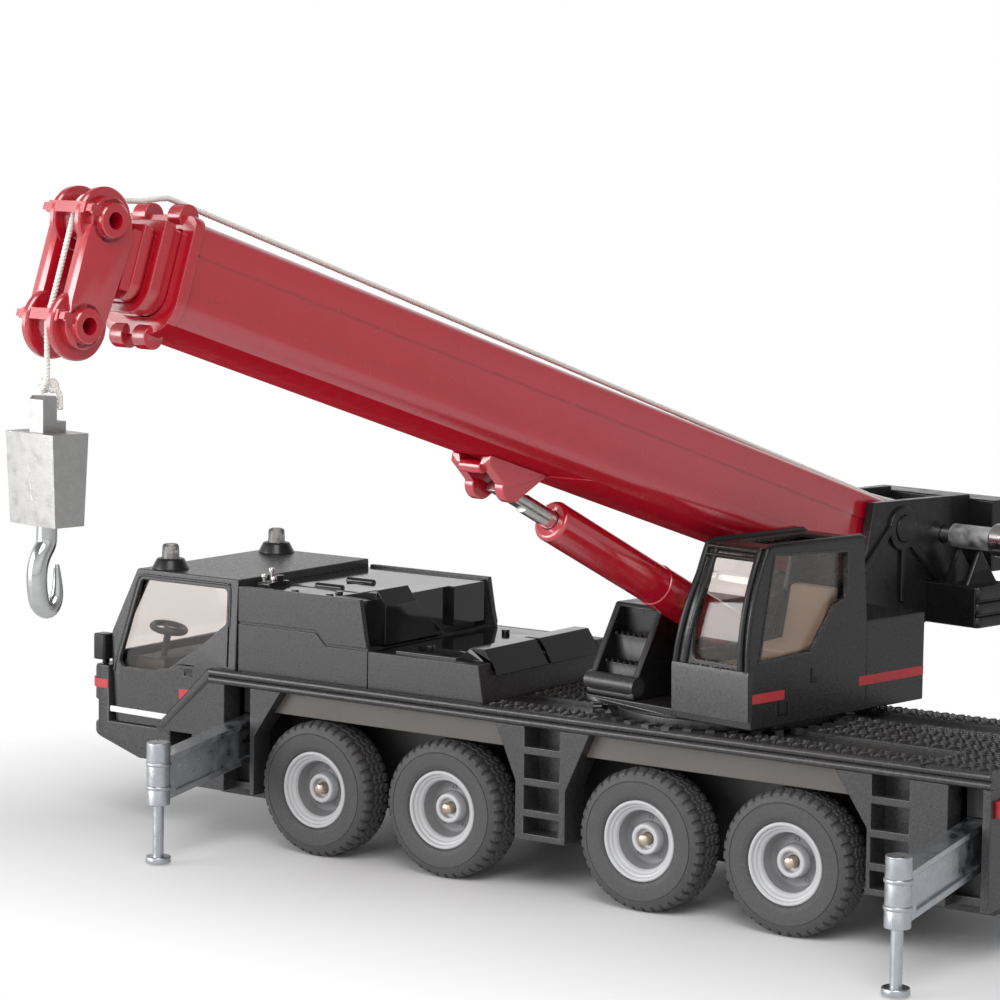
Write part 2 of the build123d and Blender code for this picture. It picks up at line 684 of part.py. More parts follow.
def top_front():
    """Gloss insert of the tall cover: top with handles and caps, and the rear air hoods."""
    inner = COVER_HALF - COVER_WALL
    top = COVER_F_TOP - TOP_DROP
    ahead = COVER_F_X[1]
    wall = COVER_REAR_WALL
    insert = block(wall, ahead, -inner, inner, top - TOP_T, top)
    insert += block(wall - BACK_T, wall, -inner, inner, COVER_R_TOP, top)
    for y in (8.5, -1.7):
        insert += rod_x(0.7, y, top, ahead - 15.3, ahead - 8.8)
    for x, y in ((20.1, 19.0), (19.5, 15.2), (11.7, 19.0), (2.1, 13.7)):
        insert += rod_z(0.75, ahead - x, y, top, top + 0.6)
    insert += block(ahead - 3.8, ahead - 0.6, 10.4, 17.0, top, top + 0.8)
    insert += air_hood(top)
    return insert + block(wall - 2.4, wall, *HOOD_B_Y, COVER_R_TOP + 1.2, top)


def air_hood(top):
    """Slanted air hood at the left of the tall cover's rear: a sheared face under a raised brow."""
    back = COVER_F_X[0] + 0.3
    wall = COVER_REAR_WALL
    low = COVER_R_TOP + 0.4
    lip = top - HOOD_A_LIP + 0.5
    brow = top + HOOD_A_RISE
    profile = outline([(back, low), (back, lip), (back + 2.0, brow), (wall + 7.0, top), (wall, top),
                       (wall, low)])
    face = outline([(HOOD_A_Y[1], low), (HOOD_A_Y[1], brow), (HOOD_A_TOP_Y[0], brow), (HOOD_A_TOP_Y[0], lip),
                    (HOOD_A_Y[0], low)])
    return side(profile, *HOOD_A_Y) & front(face, back - 1, wall + 8)


def top_rear():
    """Gloss insert of the low cover with its handles and the sloped rear hoods."""
    inner = COVER_HALF - COVER_WALL
    top = COVER_R_TOP
    back, ahead = COVER_R_X
    insert = block(back + COVER_R_RIM, ahead, -inner, inner, top - TOP_T, top)
    for y in (12.3, 19.4):
        insert += block(ahead - 19.1, ahead - 5.1, y - 0.5, y + 0.5, top, top + 0.5)
    for y in (12.3, -13.0):
        insert += rod_z(0.8, ahead - 7.7, y, top, top + 0.9)
    lip = back + COVER_R_LEAN
    seat = lip - COVER_R_LEAN * HOOD_C_DROP / COVER_R_H
    low = top - HOOD_C_DROP
    high = top + HOOD_C_RISE
    hood = outline([(lip + 1.5, high), (lip - 1.6, low), (seat, low), (lip, top), (lip + 7.7, top),
                    (lip + 4.7, high)])
    return insert + both(side(hood, *HOOD_C_Y))


def rear_lamps():
    """Lamp bars on the tail."""
    bar = block(REAR_X - 0.8, REAR_X, 14.0, 22.4, 26.0, 29.0)
    return both(bar)


# Slewing upper part, drawn about the slewing axis with the boom along +X

def upper_frame():
    """King boss, turning ring, floor, rear body and the cylinder's lugs."""
    floor_top = UPPER_Z + FLOOR_T
    frame = rod_z(KING_R, 0, 0, DECK_UNDER + 0.3, DECK_Z + SLEW_GAP)
    frame += rod_z(RING_R, 0, 0, DECK_Z + SLEW_GAP, UPPER_Z)
    frame += block(-32.0, UCAB_FRONT - 1.5, STAIR_Y[0], WELL_HALF, UPPER_Z, floor_top)
    frame += block(REAR_BODY_X, UCAB_REAR, WELL_HALF, UCAB_OUT, UPPER_Z, floor_top)
    frame += block(REAR_BODY_X, UCAB_REAR, CHEEK_OUT, UCAB_OUT, floor_top, REAR_BODY_TOP)
    x, z = cylinder_foot()
    plate = CYL_EYE_HALF + SLIDE_FIT
    frame -= block(x - 6, x + 9, -plate, plate, UPPER_Z, floor_top + 1)
    lug = outline([(x - 4, UPPER_Z), (x + 4, UPPER_Z), (x + 2.6, z + 2.6), (x - 2.6, z + 2.6)])
    for y0 in (plate, -plate - LUG_PLATE_T):
        frame += side(lug, y0, y0 + LUG_PLATE_T)
    pin = plate + LUG_PLATE_T
    frame += rod_y(CYL_PIN_R, x, z, -pin, pin)
    return frame


def upper_cab_form(inset):
    """Outer form of the crane cab, or the same form drawn in by a wall."""
    bow = ((UCAB_FRONT + UCAB_ROOF_FRONT) / 2 + 1.6, (UCAB_SILL + UCAB_ROOF) / 2)
    curve = ThreePointArc((UCAB_FRONT, UCAB_SILL), bow, (UCAB_ROOF_FRONT, UCAB_ROOF))
    rest = Polyline((UCAB_ROOF_FRONT, UCAB_ROOF), (UCAB_ROOF_REAR, UCAB_ROOF), (UCAB_REAR, REAR_BODY_TOP),
                    (UCAB_REAR, UPPER_Z), (UCAB_FRONT - 0.5, UPPER_Z), (UCAB_FRONT, UCAB_SILL))
    profile = make_face([curve, rest])
    across = outline([(WELL_HALF, UPPER_Z), (WELL_HALF, UCAB_SILL), (CHEEK_IN, UCAB_ROOF - UCAB_LEAN),
                      (CHEEK_IN, UCAB_ROOF), (UCAB_OUT, UCAB_ROOF), (UCAB_OUT, UPPER_Z)])
    if inset > 0:
        profile = offset(profile, -inset, kind=Kind.INTERSECTION)
        across = offset(across, -inset, kind=Kind.INTERSECTION)
    return side(profile, WELL_HALF, UCAB_OUT) & front(across, UCAB_REAR, UCAB_FRONT)


def upper_cab_shell():
    """Hollow crane cab with side windows and a curved windscreen opening."""
    shell = upper_cab_form(0) - upper_cab_form(UCAB_WALL)
    points = [(x, UCAB_ROOF - drop) for x, drop in UCAB_WINDOW_TOP]
    points += [(x, UCAB_SILL + rise) for x, rise in UCAB_WINDOW_LOW]
    window = fillet(outline(points).vertices(), 0.8)
    shell -= side(window, WELL_HALF - 1, UCAB_OUT + 1)
    low, high = UCAB_SILL + USCREEN_EDGE[0], UCAB_ROOF - USCREEN_EDGE[1]
    left, right = USCREEN_Y
    screen = fillet(outline([(left, low), (left, high), (right, high), (right, low)]).vertices(), 1.0)
    shell -= front(screen, UCAB_ROOF_FRONT - 3, UCAB_FRONT + 1)
    shell -= block(*ROOF_LIGHT_X, *ROOF_LIGHT_Y, UCAB_ROOF - UCAB_WALL - 0.1, UCAB_ROOF + 1)
    ledge_h, ledge_out = UCAB_LEDGE
    ledge = block(UCAB_FRONT - 1.0, UCAB_FRONT + ledge_out, WELL_HALF, UCAB_OUT, UCAB_SILL - ledge_h, UCAB_SILL)
    shell += fillet(ledge.edges().filter_by(Axis.Y).group_by(Axis.X)[-1], 0.4) - upper_cab_form(UCAB_WALL)
    seam_x = UCAB_FRONT - 7.7
    shell -= block(seam_x, seam_x + GROOVE_W, UCAB_OUT - GROOVE_D, UCAB_OUT + 1, UPPER_Z + 2, UCAB_SILL - 4)
    return shell


def upper_cab_glazing():
    """Clear insert behind the crane cab's openings."""
    room = block(UCAB_REAR, UCAB_FRONT, 0, UCAB_OUT, UCAB_SILL - 0.8, UCAB_ROOF)
    return (upper_cab_form(UCAB_WALL) - upper_cab_form(UCAB_WALL + GLASS_T)) & room


def upper_cab_seat():
    """Floor block with the driver's seat."""
    low = block(UCAB_REAR, UCAB_FRONT, 0, UCAB_OUT, UPPER_Z, UCAB_SILL - 0.8)
    seat = upper_cab_form(UCAB_WALL) & low
    mid = (WELL_HALF + UCAB_OUT) / 2 + 0.7
    cushion = outline([(-6.0, UCAB_SILL - 0.8), (6.4, UCAB_SILL - 0.8), (6.8, 48.6), (-3.2, 49.4), (-5.4, 60.6),
                       (-8.2, 60.6)])
    seat += side(cushion, mid - 4.6, mid + 4.6)
    return seat


def boom_cheeks():
    """Two side plates that carry the boom, with their bosses and ribs."""
    plate = outline([(CHEEK_FRONT, CHEEK_TOP), (CHEEK_REAR, CHEEK_TOP - 0.4), (CHEEK_REAR, WEIGHT_Z[1]),
                     (WEIGHT_FRONT, WEIGHT_Z[1]), (WEIGHT_FRONT, WEIGHT_Z[0]), (-36.6, 44.6),
                     (-32.0, UPPER_Z + FLOOR_T), (UCAB_REAR, UPPER_Z + FLOOR_T), (UCAB_REAR - 1, 42.0),
                     (CHEEK_FRONT + 1.9, 62.3)])
    cheek = side(plate, CHEEK_IN, CHEEK_OUT)
    cheek += rod_y(LUFF_BOSS_R, LUFF_X, LUFF_Z, CHEEK_OUT - RIB_H, CHEEK_OUT + RIB_H)
    upright = outline([(LUFF_X - 0.6, LUFF_Z), (LUFF_X + 0.6, LUFF_Z), (LUFF_X + 0.6, REAR_BODY_TOP),
                       (LUFF_X - 0.6, REAR_BODY_TOP)])
    rearward = outline([(LUFF_X - 1.5, LUFF_Z - 1), (LUFF_X - 0.3, LUFF_Z - 2), (WEIGHT_FRONT - 2, WEIGHT_Z[1]),
                        (WEIGHT_FRONT - 4, WEIGHT_Z[1])])
    forward = outline([(LUFF_X + 1.2, LUFF_Z + 1.6), (LUFF_X + 2.2, LUFF_Z + 2.6), (CHEEK_FRONT + 3.8, 58.8),
                       (CHEEK_FRONT + 2.8, 57.8)])
    for face in (upright, rearward, forward):
        cheek += side(face, CHEEK_OUT - RIB_H, CHEEK_OUT + RIB_H)
    cheek -= rod_y(LUFF_PIN_R, LUFF_X, LUFF_Z, 0, BODY_HALF)
    cheek -= rod_y(WINCH_SHAFT_R + RUN_FIT, WINCH_X, WINCH_Z, 0, BODY_HALF)
    return both(cheek)


def luff_pin():
    """Pin that the boom turns on."""
    half = CHEEK_OUT + RIB_H + 0.3
    return rod_y(LUFF_PIN_R, LUFF_X, LUFF_Z, -half, half)


def counterweight():
    """Stack of ballast slabs behind the plates."""
    pitch = (WEIGHT_Z[1] - WEIGHT_Z[0]) / WEIGHT_SLABS
    half = WEIGHT_HALF - 0.8
    stack = block(WEIGHT_REAR + 0.8, WEIGHT_FRONT, -half, half, WEIGHT_Z[0], WEIGHT_Z[1])
    for i in range(WEIGHT_SLABS):
        low = WEIGHT_Z[0] + i * pitch
        high = low + pitch if i == WEIGHT_SLABS - 1 else low + pitch - WEIGHT_GAP
        slab = block(WEIGHT_REAR, WEIGHT_FRONT, -WEIGHT_HALF, WEIGHT_HALF, low, high)
        stack += fillet(slab.edges().filter_by(Axis.Z), 1.2)
    reach = WINCH_Z - WINCH_SHAFT_R - FIN_GAP
    fin = outline([(WEIGHT_REAR + 1, WEIGHT_Z[1]), (WEIGHT_FRONT - 1, WEIGHT_Z[1]), (WINCH_X, reach)])
    for y in FIN_Y:
        stack += both(side(fin, y, y + FIN_T))
    return stack


def rear_housing():
    """Closed housing across the tail behind the winch."""
    box = block(HOUSING_REAR, CHEEK_REAR, -HOUSING_HALF, HOUSING_HALF, HOUSING_Z[0], HOUSING_Z[1])
    return fillet(box.edges().filter_by(Axis.Y).group_by(Axis.X)[0], 2.4)


def winch():
    """Winch drum on its shaft, with the hand knob on the left."""
    end = CHEEK_IN - DRUM_SIDE_GAP
    drum = rod_y(DRUM_R, WINCH_X, WINCH_Z, -end, end)
    for y0 in (-end, end - 1.2):
        drum += rod_y(DRUM_FLANGE_R, WINCH_X, WINCH_Z, y0, y0 + 1.2)
    drum += rod_y(WINCH_SHAFT_R, WINCH_X, WINCH_Z, -CHEEK_OUT - 1.0, KNOB_Y)
    knob = rod_y(KNOB_R, WINCH_X, WINCH_Z, KNOB_Y, KNOB_Y + KNOB_W)
    return drum + fillet(knob.edges().filter_by(GeomType.CIRCLE), 0.6)


def stair_block():
    """Stair at the front right, with the platform behind it."""
    floor_top = UPPER_Z + FLOOR_T
    front_x = UCAB_FRONT - 1.5
    profile = outline([(front_x, floor_top), (front_x, STAIR_LIP_Z), STAIR_TOP, (STAIR_BACK, STAIR_TOP[1]),
                       (STAIR_BACK, floor_top)])
    stair = side(profile, STAIR_Y[0], STAIR_Y[1])
    rise = (STAIR_TOP[1] - STAIR_LIP_Z) / STAIR_TREADS
    run = (front_x - STAIR_TOP[0]) / STAIR_TREADS
    for i in range(STAIR_TREADS):
        x1 = front_x - i * run
        z0 = STAIR_LIP_Z + i * rise - 0.8
        y0, y1 = STAIR_Y[0] + STAIR_CHEEK, STAIR_Y[1] - STAIR_CHEEK
        stair -= block(x1 - run - 1.2, x1 + 8, y0, y1, z0, z0 + rise)
    return stair


# Luffing cylinder, drawn along +X from its foot pin

def cylinder_place():
    """Place of the cylinder in the upper part."""
    x, z = cylinder_foot()
    return Pos(x, 0, z) * Rot(0, -CYL_ANGLE, 0)


def cylinder_foot():
    """Foot pin's place in the upper part: the cylinder's length back from the bracket's pin."""
    a = radians(LUFF)
    c = radians(CYL_ANGLE)
    x, h = BRACKET_PIN
    pin_x = x * cos(a) + h * sin(a)
    pin_z = BOOM_TOP_Z + x * sin(a) - h * cos(a)
    return pin_x - CYL_LEN * cos(c), pin_z - CYL_LEN * sin(c)


def cylinder_barrel():
    """Barrel with a stepped base and an eye on the foot pin."""
    tube = rod_x(BARREL_R, 0, 0, BARREL_STEP, BARREL_LEN)
    tube = fillet(tube.edges().filter_by(GeomType.CIRCLE).group_by(Axis.X)[-1], BARREL_END_R)
    barrel = rod_x(BARREL_BASE_R, 0, 0, BARREL_FROM, BARREL_STEP) + tube
    barrel += rod_y(CYL_EYE_R, 0, 0, -CYL_EYE_HALF, CYL_EYE_HALF)
    for y0 in (CYL_EYE_HALF, -CYL_EYE_HALF - 5):
        barrel -= block(-10, CYL_EYE_LEN, y0, y0 + 5, -10, 10)
    barrel -= rod_y(CYL_PIN_R + RUN_FIT, 0, 0, -10, 10)
    barrel -= rod_x(ROD_R + RUN_FIT, 0, 0, BARREL_BORE_FROM, BARREL_LEN + 1)
    return barrel


def cylinder_rod():
    """Steel rod with a flattened end."""
    rod = rod_x(ROD_R, 0, 0, ROD_TAIL, CYL_LEN)
    for z0 in (TONGUE_T / 2, -TONGUE_T / 2 - 3):
        rod -= block(CYL_LEN - TONGUE_LEN, CYL_LEN + 1, -4, 4, z0, z0 + 3)
    return rod


# Boom, drawn along +X with its top face at z = 0

def section(half, top, low, low_r, top_r):
    """Boom section: flat top and deeply rounded lower corners."""
    face = Pos(0, -(top + low) / 2) * Rectangle(2 * half, low - top)
    face = fillet(face.vertices().group_by(Axis.Y)[0], low_r)
    return fillet(face.vertices().group_by(Axis.Y)[-1], top_r)


def outer_section(inset):
    """Outer boom's section, or the same section drawn in."""
    return section(BOOM_HALF - inset, inset, BOOM_H - inset, BOOM_LOW_R - inset, max(BOOM_TOP_R - inset, 0.2))


def mid_section(inset):
    """Middle boom's section, or the same section drawn in."""
    return section(MID_HALF - inset, MID_TOP + inset, MID_LOW - inset, MID_LOW_R - inset, 0.5)


def boom_outer():
    """Outer boom: folded box with a collar and rope guide lugs at its mouth."""
    boom = front(outer_section(0), BOOM_REAR, BOOM_FRONT)
    fold = block(BOOM_REAR + 8, BOOM_FRONT, BOOM_HALF - FOLD_STEP, BOOM_HALF + 1, -FOLD_H[1], -FOLD_H[0])
    boom -= both(fold)
    boom += front(outer_section(-COLLAR_RISE), BOOM_FRONT, BOOM_FRONT + COLLAR_T)
    lug_x = BOOM_FRONT + COLLAR_T / 2
    lugs = rod_y(GUIDE_LUG_R, lug_x, COLLAR_RISE, GUIDE_LUG_Y[0], GUIDE_LUG_Y[1])
    lugs += rod_y(GUIDE_LUG_R, lug_x, -BOOM_H - COLLAR_RISE, GUIDE_LUG_Y[0] - 1.4, GUIDE_LUG_Y[1] - 1.4)
    boom += both(lugs)
    boom -= front(outer_section(BOOM_WALL), BOOM_REAR + 12, BOOM_FRONT)
    boom -= front(mid_section(-SLIDE_FIT), BOOM_FRONT - 1, BOOM_FRONT + COLLAR_T + 4)
    boom -= rod_y(LUFF_PIN_R + RUN_FIT, *luff_in_boom(), -BODY_HALF, BODY_HALF)
    return boom


def luff_in_boom():
    """Luffing pin's place in the boom's frame."""
    a = radians(LUFF)
    dx = LUFF_X
    dz = LUFF_Z - BOOM_TOP_Z
    return dx * cos(a) + dz * sin(a), -dx * sin(a) + dz * cos(a)


def boom_bracket():
    """Clevis under the boom that the cylinder's rod ends in."""
    x, h = BRACKET_PIN
    eye = rod_y(BRACKET_EYE_R, x, -h, *BRACKET_Y)
    rear, ahead = BRACKET_TOP
    inside = -BOOM_H + 4.0
    web = outline([(rear, inside), (ahead, inside), (ahead - 0.4, -BOOM_H - 1.5), (x + BRACKET_EYE_R, -h),
                   (x - BRACKET_EYE_R * 0.75, -h - BRACKET_EYE_R * 0.66), (rear, -BOOM_H)])
    bracket = both(eye + side(web, *BRACKET_Y))
    bracket += rod_y(BRACKET_BAR_R, BRACKET_BAR[0], -BRACKET_BAR[1], -BRACKET_Y[0], BRACKET_Y[0])
    return bracket - front(outer_section(0), BOOM_REAR, BOOM_FRONT)


def boom_mid():
    """Middle boom section with a banded end."""
    mid = front(mid_section(0), *MID_X)
    mid += front(mid_section(-BAND_FLANGE), MID_X[1] - BAND_FLANGE_T, MID_X[1])
    return mid - front(mid_section(MID_WALL), MID_X[0] - 1, MID_X[1] + 1)


def boom_inner():
    """Inner boom section with a banded end."""
    inner = front(mid_section(MID_WALL + SLIDE_FIT), *INNER_X)
    inner += front(mid_section(MID_WALL - BAND_FLANGE), INNER_X[1] - BAND_FLANGE_T + 0.4, INNER_X[1])
    return inner - front(mid_section(MID_WALL + SLIDE_FIT + INNER_WALL), INNER_X[0] - 1, INNER_X[1] - 2)


def head_web():
    """Side outline of a head plate between its two round ends."""
    (tx, th), (lx, lh) = HEAD_TOP, HEAD_LOW
    low = -MID_LOW + MID_WALL + 1.0
    high = -MID_TOP - MID_WALL - 1.0
    return outline([(tx, -th + HEAD_TOP_R - 1.2), (tx + HEAD_PLATE_X, -th), (lx + HEAD_PLATE_X, -lh), (lx, -lh),
                    (lx - HEAD_LOW_R * 0.8, -lh - HEAD_LOW_R * 0.6), (INNER_X[1], low), (INNER_X[1], high)])


def boom_head():
    """Two cheek plates with round discs, bosses, rope rollers and rope guards."""
    y0, y1 = HEAD_Y
    disc = y1 - HEAD_PLATE_T
    cheek = side(head_web(), disc, y1)
    for (x, h), r in ((HEAD_TOP, HEAD_TOP_R), (HEAD_LOW, HEAD_LOW_R)):
        cheek += rod_y(r, x, -h, y0, disc)
        cheek += rod_y(r - HEAD_STEP, x, -h, disc, y1)
        cheek += rod_y(HEAD_BOSS_R, x, -h, y1, y1 + HEAD_BOSS_H)
    flange_x = HEAD_TOP[0] + HEAD_PLATE_X
    flange = block(flange_x - 0.9, flange_x, y0, y1 + HEAD_FLANGE, -HEAD_LOW[1] + 2.0, -HEAD_TOP[1] - 2.0)
    cheek += flange
    for h in GUARD_H:
        cheek += block(HEAD_TOP[0] + 1.5, GUARD_X, y1, y1 + HEAD_BOSS_H, -h - GUARD_W / 2, -h + GUARD_W / 2)
        cheek += block(GUARD_X - GUARD_W, GUARD_X, 0, y1 + GUARD_OVER, -h - GUARD_W / 2, -h + GUARD_W / 2)
    root_low = -MID_LOW + MID_WALL + 1.0
    root_high = -MID_TOP - MID_WALL - 1.0
    cheek += block(INNER_X[1], INNER_X[1] + 1.6, 0, y1, root_low, root_high)
    head = both(cheek)
    for x, h in (HEAD_TOP, HEAD_LOW):
        head += rod_y(ROLLER_R, x, -h, -y0, y0)
        head -= rod_y(HEAD_BORE_R, x, -h, -BODY_HALF, BODY_HALF)
    return head


# Rope, hook block and hook

def rope(points):
    """Round rope along a smooth run of (x, z) points."""
    path = Spline(*[(x, 0, z) for x, z in points])
    start = Plane(origin=path @ 0, z_dir=path % 0)
    return sweep(start * Circle(ROPE_R), path=path)


def rope_straight(x0, z0, x1, z1):
    """Round rope along a straight run."""
    path = Line((x0, 0, z0), (x1, 0, z1))
    start = Plane(origin=path @ 0, z_dir=path % 0)
    return sweep(start * Circle(ROPE_R), path=path)


def rope_wrap():
    """Rope's middle line where it lies on a head roller."""
    return ROLLER_R + ROPE_R + RUN_FIT


def rope_over_boom():
    """Rope's run along the outer boom and over its collar."""
    return [(ROPE_TAIL_X, ROPE_TAIL_H), (20.0, 1.0), (90.0, 1.3), (BOOM_FRONT + 1.2, 3.4)]


def rope_tail():
    """Rope from the top of the winch drum to the rear of the boom, in the upper part's frame."""
    a = radians(LUFF)
    x = ROPE_TAIL_X * cos(a) - ROPE_TAIL_H * sin(a)
    z = BOOM_TOP_Z + ROPE_TAIL_X * sin(a) + ROPE_TAIL_H * cos(a)
    return rope_straight(WINCH_X, WINCH_Z + DRUM_R + ROPE_R + RUN_FIT, x - 0.1, z)


def rope_over_head():
    """Rope's run over the upper head roller and down to where it leaves the lower one."""
    wrap = rope_wrap()
    (tx, th), (lx, lh) = HEAD_TOP, HEAD_LOW
    run = [(MID_X[1] + 0.1, 1.5), (149.6, 0.4)]
    for angle in (72, 48, 24, 0):
        run.append((tx + wrap * cos(radians(angle)), -th + wrap * sin(radians(angle))))
    run.append((tx + wrap, -(th + lh) / 2))
    for angle in (0, -LUFF):
        run.append((lx + wrap * cos(radians(angle)), -lh + wrap * sin(radians(angle))))
    return run


def roller_in_upper():
    """Lower head roller's middle in the upper part's frame."""
    a = radians(LUFF)
    x, h = HEAD_LOW
    return x * cos(a) + h * sin(a), BOOM_TOP_Z + x * sin(a) - h * cos(a)


def hang_x():
    """Where the rope hangs from the lower roller, in the upper part's frame."""
    return roller_in_upper()[0] + rope_wrap()


def knot_z():
    """Middle of the knot on top of the hook block's lug."""
    return BLOCK_Z[1] + LUG_H + KNOT_R


def hook_block():
    """Tapered weight with a lug for the rope."""
    x = hang_x()
    low = Plane.XY.offset(BLOCK_Z[0]) * Pos(x, 0) * Rectangle(*BLOCK_LOW)
    high = Plane.XY.offset(BLOCK_Z[1]) * Pos(x, 0) * Rectangle(*BLOCK_TOP)
    weight = loft([low, high])
    lug = block(x - LUG_W / 2, x + LUG_W / 2, -LUG_T / 2, LUG_T / 2, BLOCK_Z[1], BLOCK_Z[1] + LUG_H)
    lug = fillet(lug.edges().filter_by(Axis.Y).group_by(Axis.Z)[-1], 1.4)
    return weight + lug


def hook():
    """Bent wire hook under the weight."""
    x = hang_x()
    low = HOOK_LOW_Z + HOOK_WIRE / 2
    r = HOOK_BEND_R
    shank = Line((x, 0, BLOCK_Z[0]), (x, 0, low + 2 * r + 1.0))
    bend = ThreePointArc((x, 0, low + 2 * r + 1.0), (x + r * 0.9, 0, low + 1.1 * r), (x + 0.2, 0, low))
    tip = ThreePointArc((x + 0.2, 0, low), (x - r * 0.72, 0, low + r * 0.45), (x - r * 0.85, 0, low + r * 1.35))
    wire = None
    for run in (shank, bend, tip):
        start = Plane(origin=run @ 0, z_dir=run % 0)
        leg = sweep(start * Circle(HOOK_WIRE / 2 + 0.6), path=run)
        wire = leg if wire is None else wire + leg
    return wire


def build():
    """All pieces by name, each in the crane's frame."""
    nodes = {
        "carrier_body": carrier_body(),
        "chassis_frame": chassis_frame(),
        "arch_bands": arch_bands(),
        "cab_shell": cab_shell(),
        "cab_glazing": cab_glazing(),
        "cab_interior": cab_interior(),
        "front_mask": front_mask(),
        "headlamps": headlamps(),
        "mirrors": mirrors(),
        "beacon_bases": beacon_bases(),
        "beacon_lenses": beacon_lenses(),
        "cover_front": cover_front(),
        "cover_rear": cover_rear(),
        "cover_front_insert": top_front(),
        "cover_rear_insert": top_rear(),
        "rear_lamps": rear_lamps(),
        "stand_front_left": stand(STAND_F_X, 1),
        "stand_front_right": stand(STAND_F_X, -1),
        "stand_rear_left": stand(STAND_R_X, 1),
        "stand_rear_right": stand(STAND_R_X, -1),
    }
    for i, x in enumerate(AXLE_X, start=1):
        nodes[f"wheels_{i}"] = wheels(x)
        nodes[f"tyres_{i}"] = tyres(x)
    turn = Rot(0, 0, SLEW)
    upper = {
        "upper_frame": upper_frame(),
        "upper_cab_shell": upper_cab_shell(),
        "upper_cab_glazing": upper_cab_glazing(),
        "upper_cab_seat": upper_cab_seat(),
        "boom_cheeks": boom_cheeks(),
        "luff_pin": luff_pin(),
        "counterweight": counterweight(),
        "rear_housing": rear_housing(),
        "stair_block": stair_block(),
        "winch": winch(),
        "cylinder_barrel": cylinder_place() * cylinder_barrel(),
        "cylinder_rod": cylinder_place() * cylinder_rod(),
        "hook_block": hook_block(),
        "hook": hook(),
        "rope_tail": rope_tail(),
        "rope_knot": Pos(hang_x(), 0, knot_z()) * Sphere(KNOT_R),
        "rope_drop": rope_straight(hang_x(), roller_in_upper()[1] - 0.05, hang_x(), knot_z() + KNOT_R),
    }
    for name, shape in upper.items():
        nodes[name] = turn * shape
    lift = turn * Pos(0, 0, BOOM_TOP_Z) * Rot(0, -LUFF, 0)
    span = rope_over_boom()[-1]
    boom = {
        "boom_outer": boom_outer(),
        "boom_bracket": boom_bracket(),
        "boom_mid": boom_mid(),
        "boom_inner": boom_inner(),
        "boom_head": boom_head(),
        "rope_boom": rope(rope_over_boom()),
        "rope_span": rope_straight(span[0] + 0.1, span[1], MID_X[1], 1.55),
        "rope_head": rope(rope_over_head()),
    }
    for name, shape in boom.items():
        nodes[name] = lift * shape
    return nodes


os.makedirs("parts", exist_ok=True)
for node, shape in build().items():
    export_step(shape, f"parts/{node}.step")
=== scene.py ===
"""Looks of the toy mobile crane: materials, fine detail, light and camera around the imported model."""
import json
from math import cos, hypot, pi, radians, sin

import bmesh
import bpy
from mathutils import Matrix, Vector


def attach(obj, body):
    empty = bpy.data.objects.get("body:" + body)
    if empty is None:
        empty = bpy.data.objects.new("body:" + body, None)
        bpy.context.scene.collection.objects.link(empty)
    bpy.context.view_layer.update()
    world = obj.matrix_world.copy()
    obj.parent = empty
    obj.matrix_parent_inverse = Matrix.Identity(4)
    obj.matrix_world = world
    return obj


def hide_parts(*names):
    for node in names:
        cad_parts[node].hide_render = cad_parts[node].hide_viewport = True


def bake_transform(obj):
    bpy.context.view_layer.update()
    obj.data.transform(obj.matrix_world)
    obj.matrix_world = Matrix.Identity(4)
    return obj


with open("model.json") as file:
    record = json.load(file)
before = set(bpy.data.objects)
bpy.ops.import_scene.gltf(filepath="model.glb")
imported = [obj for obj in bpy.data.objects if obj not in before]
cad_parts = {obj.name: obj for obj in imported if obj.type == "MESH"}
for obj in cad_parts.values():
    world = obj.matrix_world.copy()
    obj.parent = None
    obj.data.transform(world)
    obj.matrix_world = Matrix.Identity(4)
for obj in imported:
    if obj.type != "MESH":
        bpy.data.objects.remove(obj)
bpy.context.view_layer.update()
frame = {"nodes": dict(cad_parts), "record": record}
NODES = frame["nodes"]
MM = 0.001

# The crane's own frames, as in its source: millimetres
SLEW = radians(80.42)
LUFF = radians(17.60)
BOOM_TOP_Z = 82.47
CARRIER = Matrix.Scale(MM, 4)
UPPER = CARRIER @ Matrix.Rotation(SLEW, 4, "Z")
BOOM = UPPER @ Matrix.Translation((0, 0, BOOM_TOP_Z)) @ Matrix.Rotation(-LUFF, 4, "Y")


# Materials

